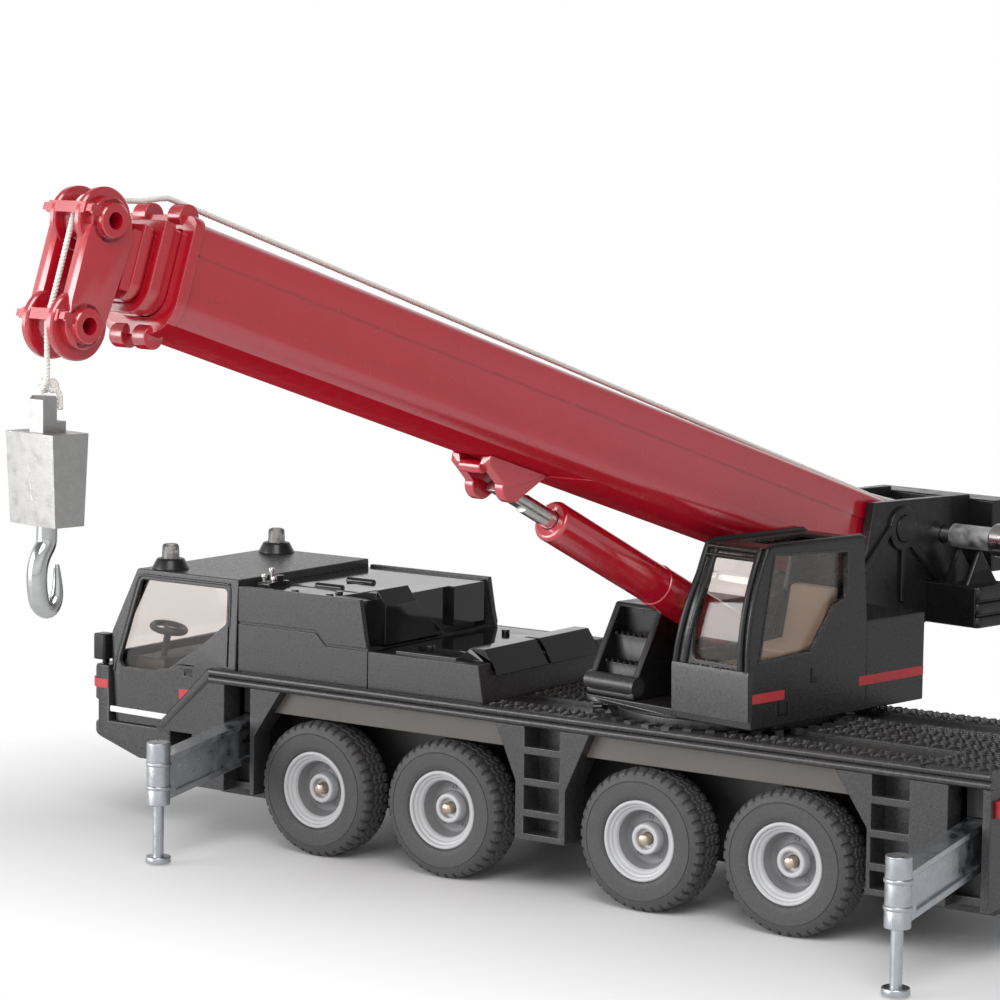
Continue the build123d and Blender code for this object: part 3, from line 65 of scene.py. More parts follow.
class Paint:
    """A Principled material and short ways to add noise to it."""

    def __init__(self, name, color, roughness, **values):
        self.material = bpy.data.materials.new(name)
        self.material.use_nodes = True
        self.tree = self.material.node_tree
        self.shader = self.tree.nodes["Principled BSDF"]
        self.color = (*color, 1.0)
        self.shader.inputs["Base Color"].default_value = self.color
        self.shader.inputs["Roughness"].default_value = roughness
        for key, value in values.items():
            self.shader.inputs[key.replace("_", " ")].default_value = value
        self.coords = self.tree.nodes.new("ShaderNodeTexCoord").outputs["Object"]
        self.height = None

    def noise(self, scale, detail=2.0, stretch=None):
        """Noise over the piece, in features per metre, drawn out along a direction if asked."""
        node = self.tree.nodes.new("ShaderNodeTexNoise")
        node.inputs["Scale"].default_value = scale
        node.inputs["Detail"].default_value = detail
        source = self.coords
        if stretch:
            mapping = self.tree.nodes.new("ShaderNodeMapping")
            mapping.inputs["Scale"].default_value = stretch
            self.tree.links.new(source, mapping.inputs["Vector"])
            source = mapping.outputs["Vector"]
        self.tree.links.new(source, node.inputs["Vector"])
        return node.outputs["Fac"]

    def ramp(self, source, low, high, first, last):
        """Maps a value between two limits onto two others."""
        node = self.tree.nodes.new("ShaderNodeMapRange")
        node.inputs["From Min"].default_value = low
        node.inputs["From Max"].default_value = high
        node.inputs["To Min"].default_value = first
        node.inputs["To Max"].default_value = last
        self.tree.links.new(source, node.inputs["Value"])
        return node.outputs["Result"]

    def vary_roughness(self, source, first, last, low=0.35, high=0.65):
        """Moves the roughness from one value to another with a value."""
        self.tree.links.new(self.ramp(source, low, high, first, last), self.shader.inputs["Roughness"])
        return self

    def vary_color(self, source, other, low=0.4, high=0.7):
        """Moves the colour towards another one where the value is high."""
        mix = self.tree.nodes.new("ShaderNodeMix")
        mix.data_type = "RGBA"
        factor, first, second = (mix.inputs[i] for i in (0, 6, 7))
        first.default_value = self.color
        second.default_value = (*other, 1.0)
        self.tree.links.new(self.ramp(source, low, high, 0.0, 1.0), factor)
        self.tree.links.new(mix.outputs[2], self.shader.inputs["Base Color"])
        return self

    def bump(self, source, depth_mm, strength=1.0):
        """Raises the surface by a value, one bump on top of the last."""
        node = self.tree.nodes.new("ShaderNodeBump")
        node.inputs["Strength"].default_value = strength
        node.inputs["Distance"].default_value = depth_mm * MM
        self.tree.links.new(source, node.inputs["Height"])
        if self.height is not None:
            self.tree.links.new(self.height, node.inputs["Normal"])
        self.height = node.outputs["Normal"]
        self.tree.links.new(self.height, self.shader.inputs["Normal"])
        return self


def cast_paint(name, color, speckle, roughness):
    """Sprayed paint over a cast skin: fine grain with paler flecks."""
    paint = Paint(name, color, roughness, Specular_IOR_Level=0.62)
    grain = paint.noise(scale=3100, detail=2.5)
    paint.bump(grain, depth_mm=0.06, strength=0.36)
    paint.vary_color(grain, speckle, low=0.45, high=0.78)
    paint.vary_roughness(paint.noise(scale=2200), roughness - 0.06, roughness + 0.06)
    return paint.material


def moulded(name, color, roughness, wave=0.05, **values):
    """Moulded plastic: faint waves, fine scuffs and a slight change of gloss."""
    paint = Paint(name, color, roughness, **values)
    paler = [min(1.0, c * 1.06 + 0.0005) for c in color]
    paint.bump(paint.noise(scale=90, detail=1.0), depth_mm=wave, strength=0.06)
    paint.vary_roughness(paint.noise(scale=420, detail=4.0), roughness * 0.85, roughness * 1.25)
    paint.vary_color(paint.noise(scale=120, detail=3.0), paler, low=0.35, high=0.75)
    return paint.material


def metal(name, color, roughness, grain, depth, stretch=None):
    """Bare metal with a grain of its own."""
    paint = Paint(name, color, roughness, Metallic=1.0)
    darker = [c * 0.88 for c in color]
    paint.bump(paint.noise(grain, detail=3.0, stretch=stretch), depth_mm=depth, strength=0.35)
    paint.vary_roughness(paint.noise(scale=480, detail=3.0), roughness * 0.75, roughness * 1.35)
    paint.vary_color(paint.noise(scale=700, detail=4.0), darker, low=0.35, high=0.75)
    return paint.material


def clear(name, color, roughness):
    """Clear tinted plastic with faint moulding waves."""
    paint = Paint(name, color, roughness, IOR=1.46, Transmission_Weight=1.0)
    darker = [c * 0.96 for c in color]
    paint.bump(paint.noise(scale=110, detail=1.0), depth_mm=0.03, strength=0.05)
    paint.vary_color(paint.noise(scale=60, detail=1.0), darker, low=0.3, high=0.7)
    return paint.material


def twine(name, color):
    """Soft twisted thread with fine fibres."""
    paint = Paint(name, color, roughness=0.85, Sheen_Weight=0.35)
    fibres = paint.noise(scale=5200, detail=3.0)
    paint.bump(fibres, depth_mm=0.06, strength=0.5)
    paint.vary_color(fibres, [c * 0.72 for c in color], low=0.5, high=0.75)
    return paint.material


MATS = {
    "cast_black": cast_paint("cast_black", (0.026, 0.0255, 0.026), (0.072, 0.070, 0.070), 0.33),
    # Painted shade: a darker copy of the cast black, standing in for the shade on the crane cab's shell and
    # frame
    "cab_cast_painted_shade": cast_paint("cab_cast_painted_shade", (0.017, 0.0165, 0.017), (0.030, 0.029, 0.029), 0.30),
    "chassis_plastic": moulded("chassis_plastic", (0.022, 0.022, 0.023), 0.45),
    "arch_grey": moulded("arch_grey", (0.105, 0.094, 0.086), 0.42, 0.12),
    "gloss_black": moulded("gloss_black", (0.009, 0.009, 0.0095), 0.30),
    "boom_red": moulded("boom_red", (0.47, 0.004, 0.018), 0.22,
                        Coat_Weight=1.0, Coat_Roughness=0.16, Coat_IOR=1.85),
    # Painted shade: a darker, duller copy of the boom's red for its underside and top faces
    "boom_red_painted_shade": moulded("boom_red_painted_shade", (0.40, 0.005, 0.017), 0.75, Specular_IOR_Level=0.08),
    "cover_gloss": moulded("cover_gloss", (0.012, 0.012, 0.013), 0.08, 0.01),
    "steel": metal("steel", (0.66, 0.655, 0.64), 0.24, 900, 0.02, (1.0, 6.0, 6.0)),
    "shaft_steel": metal("shaft_steel", (0.86, 0.87, 0.88), 0.58, 900, 0.01),
    "bare_zinc": metal("bare_zinc", (0.51, 0.505, 0.50), 0.38, 2300, 0.06),
    "stand_zinc": metal("stand_zinc", (0.56, 0.59, 0.62), 0.34, 1500, 0.05),
    "hook_zinc": metal("hook_zinc", (0.60, 0.61, 0.61), 0.16, 700, 0.03),
    "axle_bronze": metal("axle_bronze", (0.62, 0.52, 0.42), 0.30, 1500, 0.03),
    "smoke_clear": clear("smoke_clear", (0.905, 0.862, 0.838), 0.03),
    "lamp_clear": clear("lamp_clear", (0.93, 0.92, 0.90), 0.04),
    "beacon_clear": clear("beacon_clear", (0.985, 0.95, 0.915), 0.32),
    "lamp_red": moulded("lamp_red", (0.42, 0.010, 0.010), 0.18),
    "interior_dark": moulded("interior_dark", (0.050, 0.040, 0.034), 0.50),
    "seat_tan": moulded("seat_tan", (0.46, 0.345, 0.245), 0.50),
    "rim_grey": moulded("rim_grey", (0.50, 0.505, 0.515), 0.36),
    # Painted shade: a darker grey copy of the rim plastic for the inside of each wheel's dish, where shade
    # falls
    "rim_dish_painted_shade": moulded("rim_dish_painted_shade", (0.20, 0.20, 0.205), 0.42),
    "tyre": cast_paint("tyre", (0.050, 0.049, 0.050), (0.075, 0.073, 0.072), 0.60),
    "twine": twine("twine", (0.87, 0.85, 0.80)),
    "stripe_red": moulded("stripe_red", (0.50, 0.040, 0.045), 0.45),
    "stripe_white": moulded("stripe_white", (0.80, 0.80, 0.81), 0.45),
}

BODIES = frame["record"]["behaviour"]["bodies"]
BODY_OF = {node: body for body, nodes in BODIES.items() for node in nodes}
SLOT_OF = {row["node"]: row["material_slot"] for row in frame["record"]["subparts"]}
for node, shown in NODES.items():
    shown.data.materials.clear()
    shown.data.materials.append(MATS[SLOT_OF[node]])

# Mesh kit

ON_AXIS = {
    "y": lambda u, v, t: (u, t, v),
    "z": lambda u, v, t: (u, v, t),
}
WHOLE_TURN = 2 * pi
BOTH_HANDS = (1, -1)
SUNK = 0.1
MITRE_LEAST = 0.5
ROPE_STRANDS = 3
ROPE_STEP = 0.30
ROPE_PITCH = 1.7
ROPE_LAY = 0.23
STRAND_R = 0.26
STRAND_SIDES = 7
STUD_SIDES = 8
KEEN_ANGLE = radians(30)
WELD = 0.002
FLAT_ANGLE = radians(0.4)
ROOM = 1.6


def clip(value):
    """The value, kept between 0 and 1."""
    return max(0.0, min(1.0, value))


def sides(hand, first, last):
    """Two places across on one hand of the crane, the lower one first."""
    return sorted((hand * first, hand * last))


def circle(center, radius, steps=32):
    """Points round a circle."""
    turns = [WHOLE_TURN * k / steps for k in range(steps)]
    return [(center[0] + radius * cos(a), center[1] + radius * sin(a)) for a in turns]


def grown(points, width):
    """Closed outline a width larger all round."""
    found = []
    for i, (x, z) in enumerate(points):
        (x0, z0), (x1, z1) = points[i - 1], points[(i + 1) % len(points)]
        before = Vector((x - x0, z - z0)).normalized()
        after = Vector((x1 - x, z1 - z)).normalized()
        out = Vector((before.y + after.y, -before.x - after.x)).normalized()
        out *= width / max(MITRE_LEAST, out.dot(Vector((after.y, -after.x))))
        found.append((x + out.x, z + out.y))
    return found


def eased(points, cut, steps=6):
    """Open line with its corners cut round."""
    found = [points[0]]
    for a, b, c in zip(points, points[1:], points[2:]):
        corner = Vector(b)
        start = corner + (Vector(a) - corner).normalized() * cut
        end = corner + (Vector(c) - corner).normalized() * cut
        for k in range(steps + 1):
            t = k / steps
            found.append((1 - t) ** 2 * start + 2 * t * (1 - t) * corner + t * t * end)
    return [*found, points[-1]]


def along(path):
    """Each point of a path with two directions across it that turn as little as they can."""
    rows = []
    across = None
    for i, point in enumerate(path):
        ahead = (path[min(i + 1, len(path) - 1)] - path[max(i - 1, 0)]).normalized()
        if across is None:
            across = ahead.orthogonal().normalized()
        across = (across - ahead * across.dot(ahead)).normalized()
        rows.append((point, across, ahead.cross(across)))
    return rows


def route(points):
    """Points read from a smooth NURBS line whose control points are given."""
    curve = bpy.data.curves.new("route", "CURVE")
    curve.dimensions = "3D"
    spline = curve.splines.new("NURBS")
    spline.points.add(len(points) - 1)
    for knot, point in zip(spline.points, points):
        knot.co = (*point, 1.0)
    spline.order_u = 3
    spline.use_endpoint_u = True
    spline.resolution_u = 16
    holder = bpy.data.objects.new("route", curve)
    bpy.context.scene.collection.objects.link(holder)
    shape = holder.evaluated_get(bpy.context.evaluated_depsgraph_get())
    line = bpy.data.meshes.new_from_object(shape)
    found = [v.co.copy() for v in line.vertices]
    bpy.data.objects.remove(holder)
    bpy.data.curves.remove(curve)
    bpy.data.meshes.remove(line)
    return found


def spaced(path, step):
    """The same line with its points one step apart."""
    found = [path[0].copy()]
    left = step
    for a, b in zip(path, path[1:]):
        length = (b - a).length
        place = left
        while place <= length:
            found.append(a.lerp(b, place / length))
            place += step
        left = place - length
    found.append(path[-1].copy())
    return found


class Form:
    """A mesh in the making, in millimetres, in one of the crane's own frames."""

    def __init__(self):
        self.bm = bmesh.new()

    def skin(self, first, last):
        """Faces between two rings, either of which may be one point."""
        count = max(len(first), len(last))
        for k in range(count):
            m = (k + 1) % count
            corners = [first[k % len(first)], first[m % len(first)],
                       last[m % len(last)], last[k % len(last)]]
            corners = list(dict.fromkeys(corners))
            if len(corners) > 2:
                self.bm.faces.new(corners)

    def ring(self, points):
        """New corners at the points."""
        return [self.bm.verts.new(p) for p in points]

    def loft(self, *rings):
        """Closed solid through rings of points."""
        made = [self.ring(points) for points in rings]
        for first, last in zip(made, made[1:]):
            self.skin(first, last)
        for end in (made[0], made[-1]):
            if len(end) > 2:
                self.bm.faces.new(end)
        return self

    def prism(self, points, low, high, axis="y"):
        """Outline drawn out between two places along an axis."""
        place = ON_AXIS[axis]
        return self.loft(*[[place(u, v, t) for u, v in points] for t in (low, high)])

    def box(self, x, y, z):
        """Block between two places along each axis."""
        corners = [(x[0], z[0]), (x[1], z[0]), (x[1], z[1]), (x[0], z[1])]
        return self.prism(corners, *y)

    def lathe(self, profile, place, steps=48):
        """Profile of (radius, height) turned about the Z axis of a place."""
        made = []
        for r, h in profile:
            turns = [WHOLE_TURN * k / steps for k in range(steps)] if r > 0 else [0.0]
            made.append(self.ring([place @ Vector((r * cos(a), r * sin(a), h)) for a in turns]))
        for first, last in zip(made, made[1:]):
            self.skin(first, last)
        return self

    def tube(self, path, radius, sides=10):
        """Round bar along a path, with one radius or one for each point."""
        radii = radius if isinstance(radius, list) else [radius] * len(path)
        turns = [WHOLE_TURN * k / sides for k in range(sides)]
        rings = []
        for (point, u, v), r in zip(along(path), radii):
            rings.append([point + r * (cos(a) * u + sin(a) * v) for a in turns])
        return self.loft(*rings)

    def twist(self, path):
        """Rope of three strands along a path."""
        rows = along(spaced(path, ROPE_STEP))
        for strand in range(ROPE_STRANDS):
            line = []
            for i, (point, u, v) in enumerate(rows):
                a = WHOLE_TURN * (i * ROPE_STEP / ROPE_PITCH + strand / ROPE_STRANDS)
                line.append(point + ROPE_LAY * (cos(a) * u + sin(a) * v))
            self.tube(line, STRAND_R, STRAND_SIDES)
        return self

    def ribbon(self, points, width, base, height):
        """Raised bead round a closed outline on a side that stands at one place across."""
        outer = grown(points, width)
        low, high = base - SUNK, base + height
        rings = []
        for line, y in ((points, low), (points, high), (outer, high), (outer, low)):
            rings.append(self.ring([(x, y, z) for x, z in line]))
        for k, ring in enumerate(rings):
            self.skin(ring, rings[(k + 1) % len(rings)])
        return self

    def pierced(self, outer, holes, low, high):
        """Plate between two places across, with holes through it."""
        place = ON_AXIS["y"]
        loops = []
        for points in (outer, *holes):
            loops.append([self.ring([place(u, v, t) for u, v in points]) for t in (low, high)])
            self.skin(*loops[-1])
        for end in (0, 1):
            edges = []
            for loop in loops:
                ring = loop[end]
                for k, v in enumerate(ring):
                    edges.append(self.bm.edges.get((v, ring[(k + 1) % len(ring)])))
            bmesh.ops.triangle_fill(self.bm, use_beauty=True, use_dissolve=False, edges=edges)
        return self

    def stud(self, at, size, turn, lift):
        """Small domed bar, as on tread plate."""
        c, s = cos(turn), sin(turn)
        rings = []
        for scale, z in ((1.0, -SUNK), (1.0, lift * 0.45), (0.62, lift)):
            ring = []
            for p, q in circle((0, 0), 1.0, STUD_SIDES):
                u, v = size[0] * scale * p, size[1] * scale * q
                ring.append((at[0] + u * c - v * s, at[1] + u * s + v * c, at[2] + z))
            rings.append(ring)
        return self.loft(*rings)

    def round(self, width, angle=30, segments=2):
        """Rounds the edges that are sharper than an angle in degrees."""
        keen = []
        for edge in self.bm.edges:
            if len(edge.link_faces) == 2 and edge.calc_face_angle(0.0) > radians(angle):
                keen.append(edge)
        bmesh.ops.bevel(self.bm, geom=keen, offset=width, offset_type="OFFSET", segments=segments,
                        profile=0.5, affect="EDGES", clamp_overlap=True)
        return self

    def add(self, name, slot, body, *nodes, place=CARRIER, flat=40, paint=None):
        """Makes the piece: it rides a body and stands for the CAD nodes named."""
        bmesh.ops.recalc_face_normals(self.bm, faces=self.bm.faces[:])
        self.bm.transform(place)
        mesh = bpy.data.meshes.new(name)
        self.bm.to_mesh(mesh)
        self.bm.free()
        mesh.shade_smooth()
        mesh.set_sharp_from_angle(angle=radians(flat))
        mesh.materials.append(MATS[paint or slot])
        piece = bpy.data.objects.new(name, mesh)
        bpy.context.scene.collection.objects.link(piece)
        if body:
            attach(piece, body)
        if nodes:
            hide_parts(*nodes)
        return piece


def cut_away(bm, doomed):
    """Takes the points away that a test picks, and closes what that leaves open."""
    bmesh.ops.delete(bm, geom=[v for v in bm.verts if doomed(v.co)], context="VERTS")
    bmesh.ops.holes_fill(bm, edges=[e for e in bm.edges if e.is_boundary], sides=0)


def dress(node, width, paint=None, warp=None, doomed=None):
    """A CAD node with its sharp outer edges rounded, and bent or trimmed a little where asked."""
    form = Form()
    form.bm.from_mesh(NODES[node].data)
    form.bm.transform(CARRIER.inverted())
    bm = form.bm
    bmesh.ops.remove_doubles(bm, verts=bm.verts[:], dist=WELD)
    if doomed:
        cut_away(bm, doomed)
    bmesh.ops.dissolve_limit(bm, angle_limit=FLAT_ANGLE, verts=bm.verts[:], edges=bm.edges[:])
    if warp:
        for v in bm.verts:
            v.co += warp(v.co)
    keen = set()
    for edge in bm.edges:
        if len(edge.link_faces) == 2 and edge.is_convex and edge.calc_face_angle(0.0) > KEEN_ANGLE:
            keen.add(edge)
    roomy = []
    for edge in keen:
        beside = [e for v in edge.verts for e in v.link_edges if e not in keen]
        if all(e.calc_length() > ROOM * width for e in beside):
            roomy.append(edge)
    if width:
        bmesh.ops.bevel(bm, geom=roomy, offset=width, offset_type="OFFSET", segments=2,
                        profile=0.5, affect="EDGES", clamp_overlap=False)
    piece = form.add(node + "_skin", SLOT_OF[node], BODY_OF[node], node, flat=46, paint=paint)
    normals = piece.modifiers.new("normals", "WEIGHTED_NORMAL")
    normals.keep_sharp = True
    return piece


# CAD nodes with rounded edges: the rounding of each, and its paint where that isn't its slot's

STANDS = [f"stand_{end}_{hand}" for end in ("front", "rear") for hand in ("left", "right")]
ROUNDED = {
    "carrier_body": 0.16, "chassis_frame": 0.15, "arch_bands": 0.15, "cab_shell": 0.22, "cab_interior": 0.25,
    "front_mask": 0.30, "headlamps": 0.35, "mirrors": 0.30, "cab_glazing": 0.0,
    "cover_front": 0.16, "cover_rear": 0.20, "cover_front_insert": 0.15, "cover_rear_insert": 0.15,
    "rear_lamps": 0.20, **dict.fromkeys(STANDS, 0.22), "upper_frame": 0.30, "upper_cab_shell": 0.25,
    "upper_cab_seat": 0.50,
    "boom_cheeks": 0.25, "counterweight": 0.45, "rear_housing": 0.40, "stair_block": 0.35, "luff_pin": 0.25,
    "winch": 0.20, "cylinder_barrel": 0.25, "cylinder_rod": 0.15, "boom_outer": 0.14, "boom_bracket": 0.25,
    "boom_mid": 0.20, "boom_inner": 0.16,
}
# The crane cab's shell and frame take the darker cast black, which is painted shade
PAINTED = {
    "upper_cab_shell": "cab_cast_painted_shade", "upper_frame": "cab_cast_painted_shade", "cover_front_insert": "cover_gloss",
    "cover_rear_insert": "cover_gloss", **dict.fromkeys(STANDS, "stand_zinc"), "luff_pin": "gloss_black",
}
CAB_PILLAR = ((126.9, 31.6), (121.0, 49.4))
SILL_Z, WAIST_Z, BROW_Z = 29.0, 34.0, 51.5
WAIST_OUT, BROW_OUT = 1.2, 1.9
DOOR_DEPTH = 8.0
PILLAR_W = 1.5
FRAME_SHARE = 0.6
DASH_TOP = 33.3
SEAT_FRONT = 112.0
CUSHION_Z, SEAT_SHARE = 44.0, 0.85
# Faces leaning down past the first value or up past the second get the boom's painted shade
SHADE_BELLY_LEAN, SHADE_TOP_LEAN = -0.62, 0.9


def brow(p):
    """The cab's front and the front edge of its side windows stand out, most of all at the roof."""
    (x0, z0), (x1, z1) = CAB_PILLAR
    ahead = p.x - x0 - (x1 - x0) * (p.z - z0) / (z1 - z0)
    share = FRAME_SHARE * clip(1 + ahead / DOOR_DEPTH) + (1 - FRAME_SHARE) * clip(ahead / PILLAR_W)
    reach = WAIST_OUT * clip((p.z - SILL_Z) / (WAIST_Z - SILL_Z))
    reach += (BROW_OUT - WAIST_OUT) * clip((p.z - WAIST_Z) / (BROW_Z - WAIST_Z))
    return Vector((reach * share, 0, 0))


def thin_wheel(p):
    """The interior's own thin steering wheel, which a fuller one stands in for."""
    return p.z > DASH_TOP and p.x > SEAT_FRONT and p.y > 0


def low_back(p):
    """The crane cab's seat has a lower back."""
    return Vector((0, 0, (SEAT_SHARE - 1) * max(0.0, p.z - CUSHION_Z)))


WARPED = {"cab_shell": brow, "cab_glazing": brow, "upper_cab_seat": low_back}
TRIMMED = {"cab_interior": thin_wheel}
for node, width in ROUNDED.items():
    dress(node, width, PAINTED.get(node), WARPED.get(node), TRIMMED.get(node))

# Painted shade: the boom's underside and top faces get a darker, duller copy of its red, picked by which way
# each face points
boom_mesh = bpy.data.objects["boom_outer_skin"].data
boom_mesh.materials.append(MATS["boom_red_painted_shade"])
for face in boom_mesh.polygons:
    face.material_index = 0 if SHADE_BELLY_LEAN <= face.normal.z <= SHADE_TOP_LEAN else 1

# Tyres: a tread of lugs and zigzag grooves, worked out as heights over a turned section
AXLE_X = (76.6, 46.6, 3.2, -26.8)
TYRE_R = 13.0
TYRE_W = 8.5
TYRE_FACE = 23.9
LUGS = 40
LUG_STEPS = 8
SIDEWALL = ((0.55, 7.42), (0.22, 7.7), (0.04, 8.2), (0.0, 8.6), (0.0, 10.72), (0.16, 10.8),
            (0.16, 10.92), (0.04, 11.0), (0.14, 11.4), (0.42, 11.95))
TREAD_Y = [0.66 + 0.2988 * k for k in range(25)]
SHOULDER_W = 1.8
SHOULDER_RUN = 1.14
SHOULDER_DROP = 0.55
SHOULDER_BEND = 1.6
CUT_DEPTH = 0.42
GROOVES = (2.75, TYRE_W / 2, TYRE_W - 2.75)
GROOVE_HALF = 0.22
GROOVE_SWAY = 0.42
GAP_REACH = 2.3
GAP_FADE = (2.5, 0.5)
GAP_PHASE = (0.36, 0.60)


def crown(y):
    """Tyre's radius across its tread, before the lugs are cut."""
    edge = min(y, TYRE_W - y)
    if edge > SHOULDER_W:
        return TYRE_R
    return TYRE_R - SHOULDER_DROP * ((SHOULDER_W - edge) / SHOULDER_RUN) ** SHOULDER_BEND


def tread_depth(y, phase):
    """How deep the tread is cut at a place across and a share of a lug round."""
    edge = min(y, TYRE_W - y)
    shifted = (phase + (0.5 if y > TYRE_W / 2 else 0.0)) % 1.0
    sway = GROOVE_SWAY * (abs(2 * phase - 1) * 2 - 1)
    for line in GROOVES:
        if abs(y - line - sway) < GROOVE_HALF:
            return CUT_DEPTH
    if edge < GAP_REACH and GAP_PHASE[0] < shifted < GAP_PHASE[1]:
        return CUT_DEPTH * min(1.0, (GAP_FADE[0] - edge) / GAP_FADE[1])
    return 0.0


def tyre(form, x, hand):
    """Tyre on one hand of the axle at a place along the crane."""
    steps = LUGS * LUG_STEPS
    inner = [(TYRE_W - y, r) for y, r in reversed(SIDEWALL)]
    rings = []
    for y, r in (*SIDEWALL, *[(y, None) for y in TREAD_Y], *inner):
        ring = []
        for k in range(steps):
            a = WHOLE_TURN * k / steps
            radius = r or crown(y) - tread_depth(y, (k % LUG_STEPS) / LUG_STEPS)
            ring.append((x + radius * cos(a), hand * (TYRE_FACE - y), TYRE_R + radius * sin(a)))
        rings.append(form.ring(ring))
    for first, last in zip(rings, rings[1:]):
        form.skin(first, last)
    form.skin(rings[-1], rings[0])


# Turned sections of a wheel: radius, depth from its outer face
RIM = ((7.42, 1.1), (7.42, 0.62), (7.3, 0.42), (7.08, 0.34), (6.86, 0.40), (6.70, 0.58), (6.60, 0.95),
       (6.30, 1.02), (6.16, 1.12), (6.08, 1.4), (5.95, 1.5), (5.62, 1.62), (5.45, 1.9), (5.3, 2.5),
       (5.5, 2.6), (5.7, 5.9), (6.9, 6.2), (7.42, 8.2), (7.42, 1.1))
DISH = ((5.35, 2.3), (4.85, 4.2), (4.6, 4.48), (4.3, 4.55), (3.25, 4.55), (3.05, 4.45), (2.95, 4.3),
        (2.95, 6.0), (5.5, 6.0), (5.35, 2.3))
HUB = ((3.0, 4.6), (2.92, 4.15), (2.80, 2.75), (2.70, 2.52), (2.50, 2.42), (2.15, 2.42), (1.95, 2.52),
       (1.86, 2.75), (1.80, 3.55), (1.20, 3.62), (1.12, 4.2), (1.12, 6.2), (3.0, 6.2), (3.0, 4.6))
RIM_HOLES = 5
RIM_HOLE_AT = 3.85
RIM_HOLE_TURN = 0.26
RIM_HOLE = ((0.0, 4.75), (0.26, 4.72), (0.30, 4.40), (0.42, 4.36), (0.52, 4.42), (0.54, 4.70))
AXLE = ((0.0, 1.62), (0.72, 1.66), (0.95, 1.78), (1.05, 2.0), (1.05, 6.4), (1.05, TYRE_FACE))


def hub_place(x, hand):
    """Wheel's frame: Z runs inwards from its outer face."""
    return Matrix.Translation((x, hand * TYRE_FACE, TYRE_R)) @ Matrix.Rotation(hand * pi / 2, 4, "X")


def hub_hole(form, place, turn):
    """Small ring with a hollow on the dish of a rim."""
    at = place @ Matrix.Rotation(turn, 4, "Z") @ Matrix.Translation((RIM_HOLE_AT, 0, 0))
    form.lathe(RIM_HOLE, at, 12)


for i, x in enumerate(AXLE_X, 1):
    rubber, rims, dishes, bar = Form(), Form(), Form(), Form()
    for hand in BOTH_HANDS:
        tyre(rubber, x, hand)
        place = hub_place(x, hand)
        rims.lathe(RIM, place, 72)
        rims.lathe(HUB, place, 48)
        dishes.lathe(DISH, place, 72)
        for k in range(RIM_HOLES):
            hub_hole(dishes, place, WHOLE_TURN * (k + RIM_HOLE_TURN) / RIM_HOLES)
        bar.lathe(AXLE, place, 24)
    rubber.add(f"tyres_{i}_tread", "tyre", f"axle_{i}", f"tyres_{i}", flat=28)
    rims.add(f"rims_{i}_dished", "rim_grey", f"axle_{i}", f"wheels_{i}", flat=50)
    # The dish inside each rim, with its small holes, takes the darker grey: painted shade in its hollow
    dishes.add(f"rims_{i}_well_painted_shade", "rim_grey", f"axle_{i}", flat=50, paint="rim_dish_painted_shade")
    bar.add(f"axle_{i}_bar", "bare_zinc", f"axle_{i}", flat=50, paint="axle_bronze")

# Tread plate on the deck, and the square heads round the turning ring
PLATE_Z = 33.85
STUD_PITCH = 1.6
STUD_SIZE, STUD_LIFT = (0.86, 0.34), 0.50
STUD_TURN = radians(45)
EDGE_ROWS = (18.6, 20.2, 21.8)
MIDDLE_ROWS = (0.8, 2.4, 4.0, 5.6, 7.2)
REAR_ROWS = (8.8, 10.4, 12.0, 13.6, 15.2, 16.8)
PLATE_X = (-64.6, 37.0)
REAR_PLATE_X = -53.6
RING_CLEAR = 25.4
RING_HEADS = 36
RING_HEAD_AT = 23.2
RING_HEAD_HALF = 0.8
RING_HEAD_LIFT = Vector((0, 0, 0.55))
plate = Form()
for rows, last in ((EDGE_ROWS, PLATE_X[1]), (MIDDLE_ROWS, PLATE_X[1]), (REAR_ROWS, REAR_PLATE_X)):
    for r, y in enumerate(rows):
        for k in range(int((last - PLATE_X[0]) / STUD_PITCH) + 1):
            x = PLATE_X[0] + STUD_PITCH * (k + 0.5 * (r % 2))
            if hypot(x, y) < RING_CLEAR or x > last:
                continue
            turn = STUD_TURN if (k + r) % 2 else -STUD_TURN
            for hand in BOTH_HANDS:
                plate.stud((x, hand * y, PLATE_Z), STUD_SIZE, turn, STUD_LIFT)
plate.add("deck_tread_plate", "cast_black", "carrier", flat=20)
heads = Form()
for k in range(RING_HEADS):
    at = Matrix.Rotation(WHOLE_TURN * (k + 0.5) / RING_HEADS, 4, "Z")
    corners = []
    for u, v in ((-1, -1), (1, -1), (1, 1), (-1, 1)):
        corners.append(at @ Vector((RING_HEAD_AT + u * RING_HEAD_HALF, v * RING_HEAD_HALF, PLATE_Z)))
    heads.loft([c - RING_HEAD_LIFT for c in corners], [c + RING_HEAD_LIFT for c in corners])
heads.round(0.16)
heads.add("ring_heads", "cast_black", "carrier")

# Stripes and small fittings of the carrier cab
CAB_WINDOW = ((121.0, 49.4), (100.2, 49.4), (100.2, 42.6), (106.6, 37.6), (114.4, 32.4), (118.3, 31.6),
              (126.9, 31.6))
CAB_SIDE_Y = 22.0
CAB_LEAN, CAB_LEAN_Z = 0.05, 33.5
CAB_BEAD_OUT, CAB_BEAD_CUT, CAB_BEAD_R, CAB_BEAD_SUNK = 0.95, 1.6, 0.30, 0.08
PAINT_T, PAINT_SUNK = 0.05, 0.2
DOOR_MARK = ((108.5, 28.75), (111.6, 28.6), (111.6, 26.6), (109.8, 26.7))
SILL_STRIPE = ((113.5, 23.2), (129.5, 23.3), (129.5, 22.2), (114.4, 22.0))
CATCH_X, CATCH_Y, CATCH_Z = (108.4, 110.2), (21.5, 22.06), (32.0, 32.8)
NOSE_X, NOSE_SAG = 136.2, 1.8
NOSE_HALF = 22.4
NOSE_CORNER_R = 3.6
NOSE_BACK_X = 129.8
NOSE_FRONT_Y = 18.0
BAND_REACH = 12.5
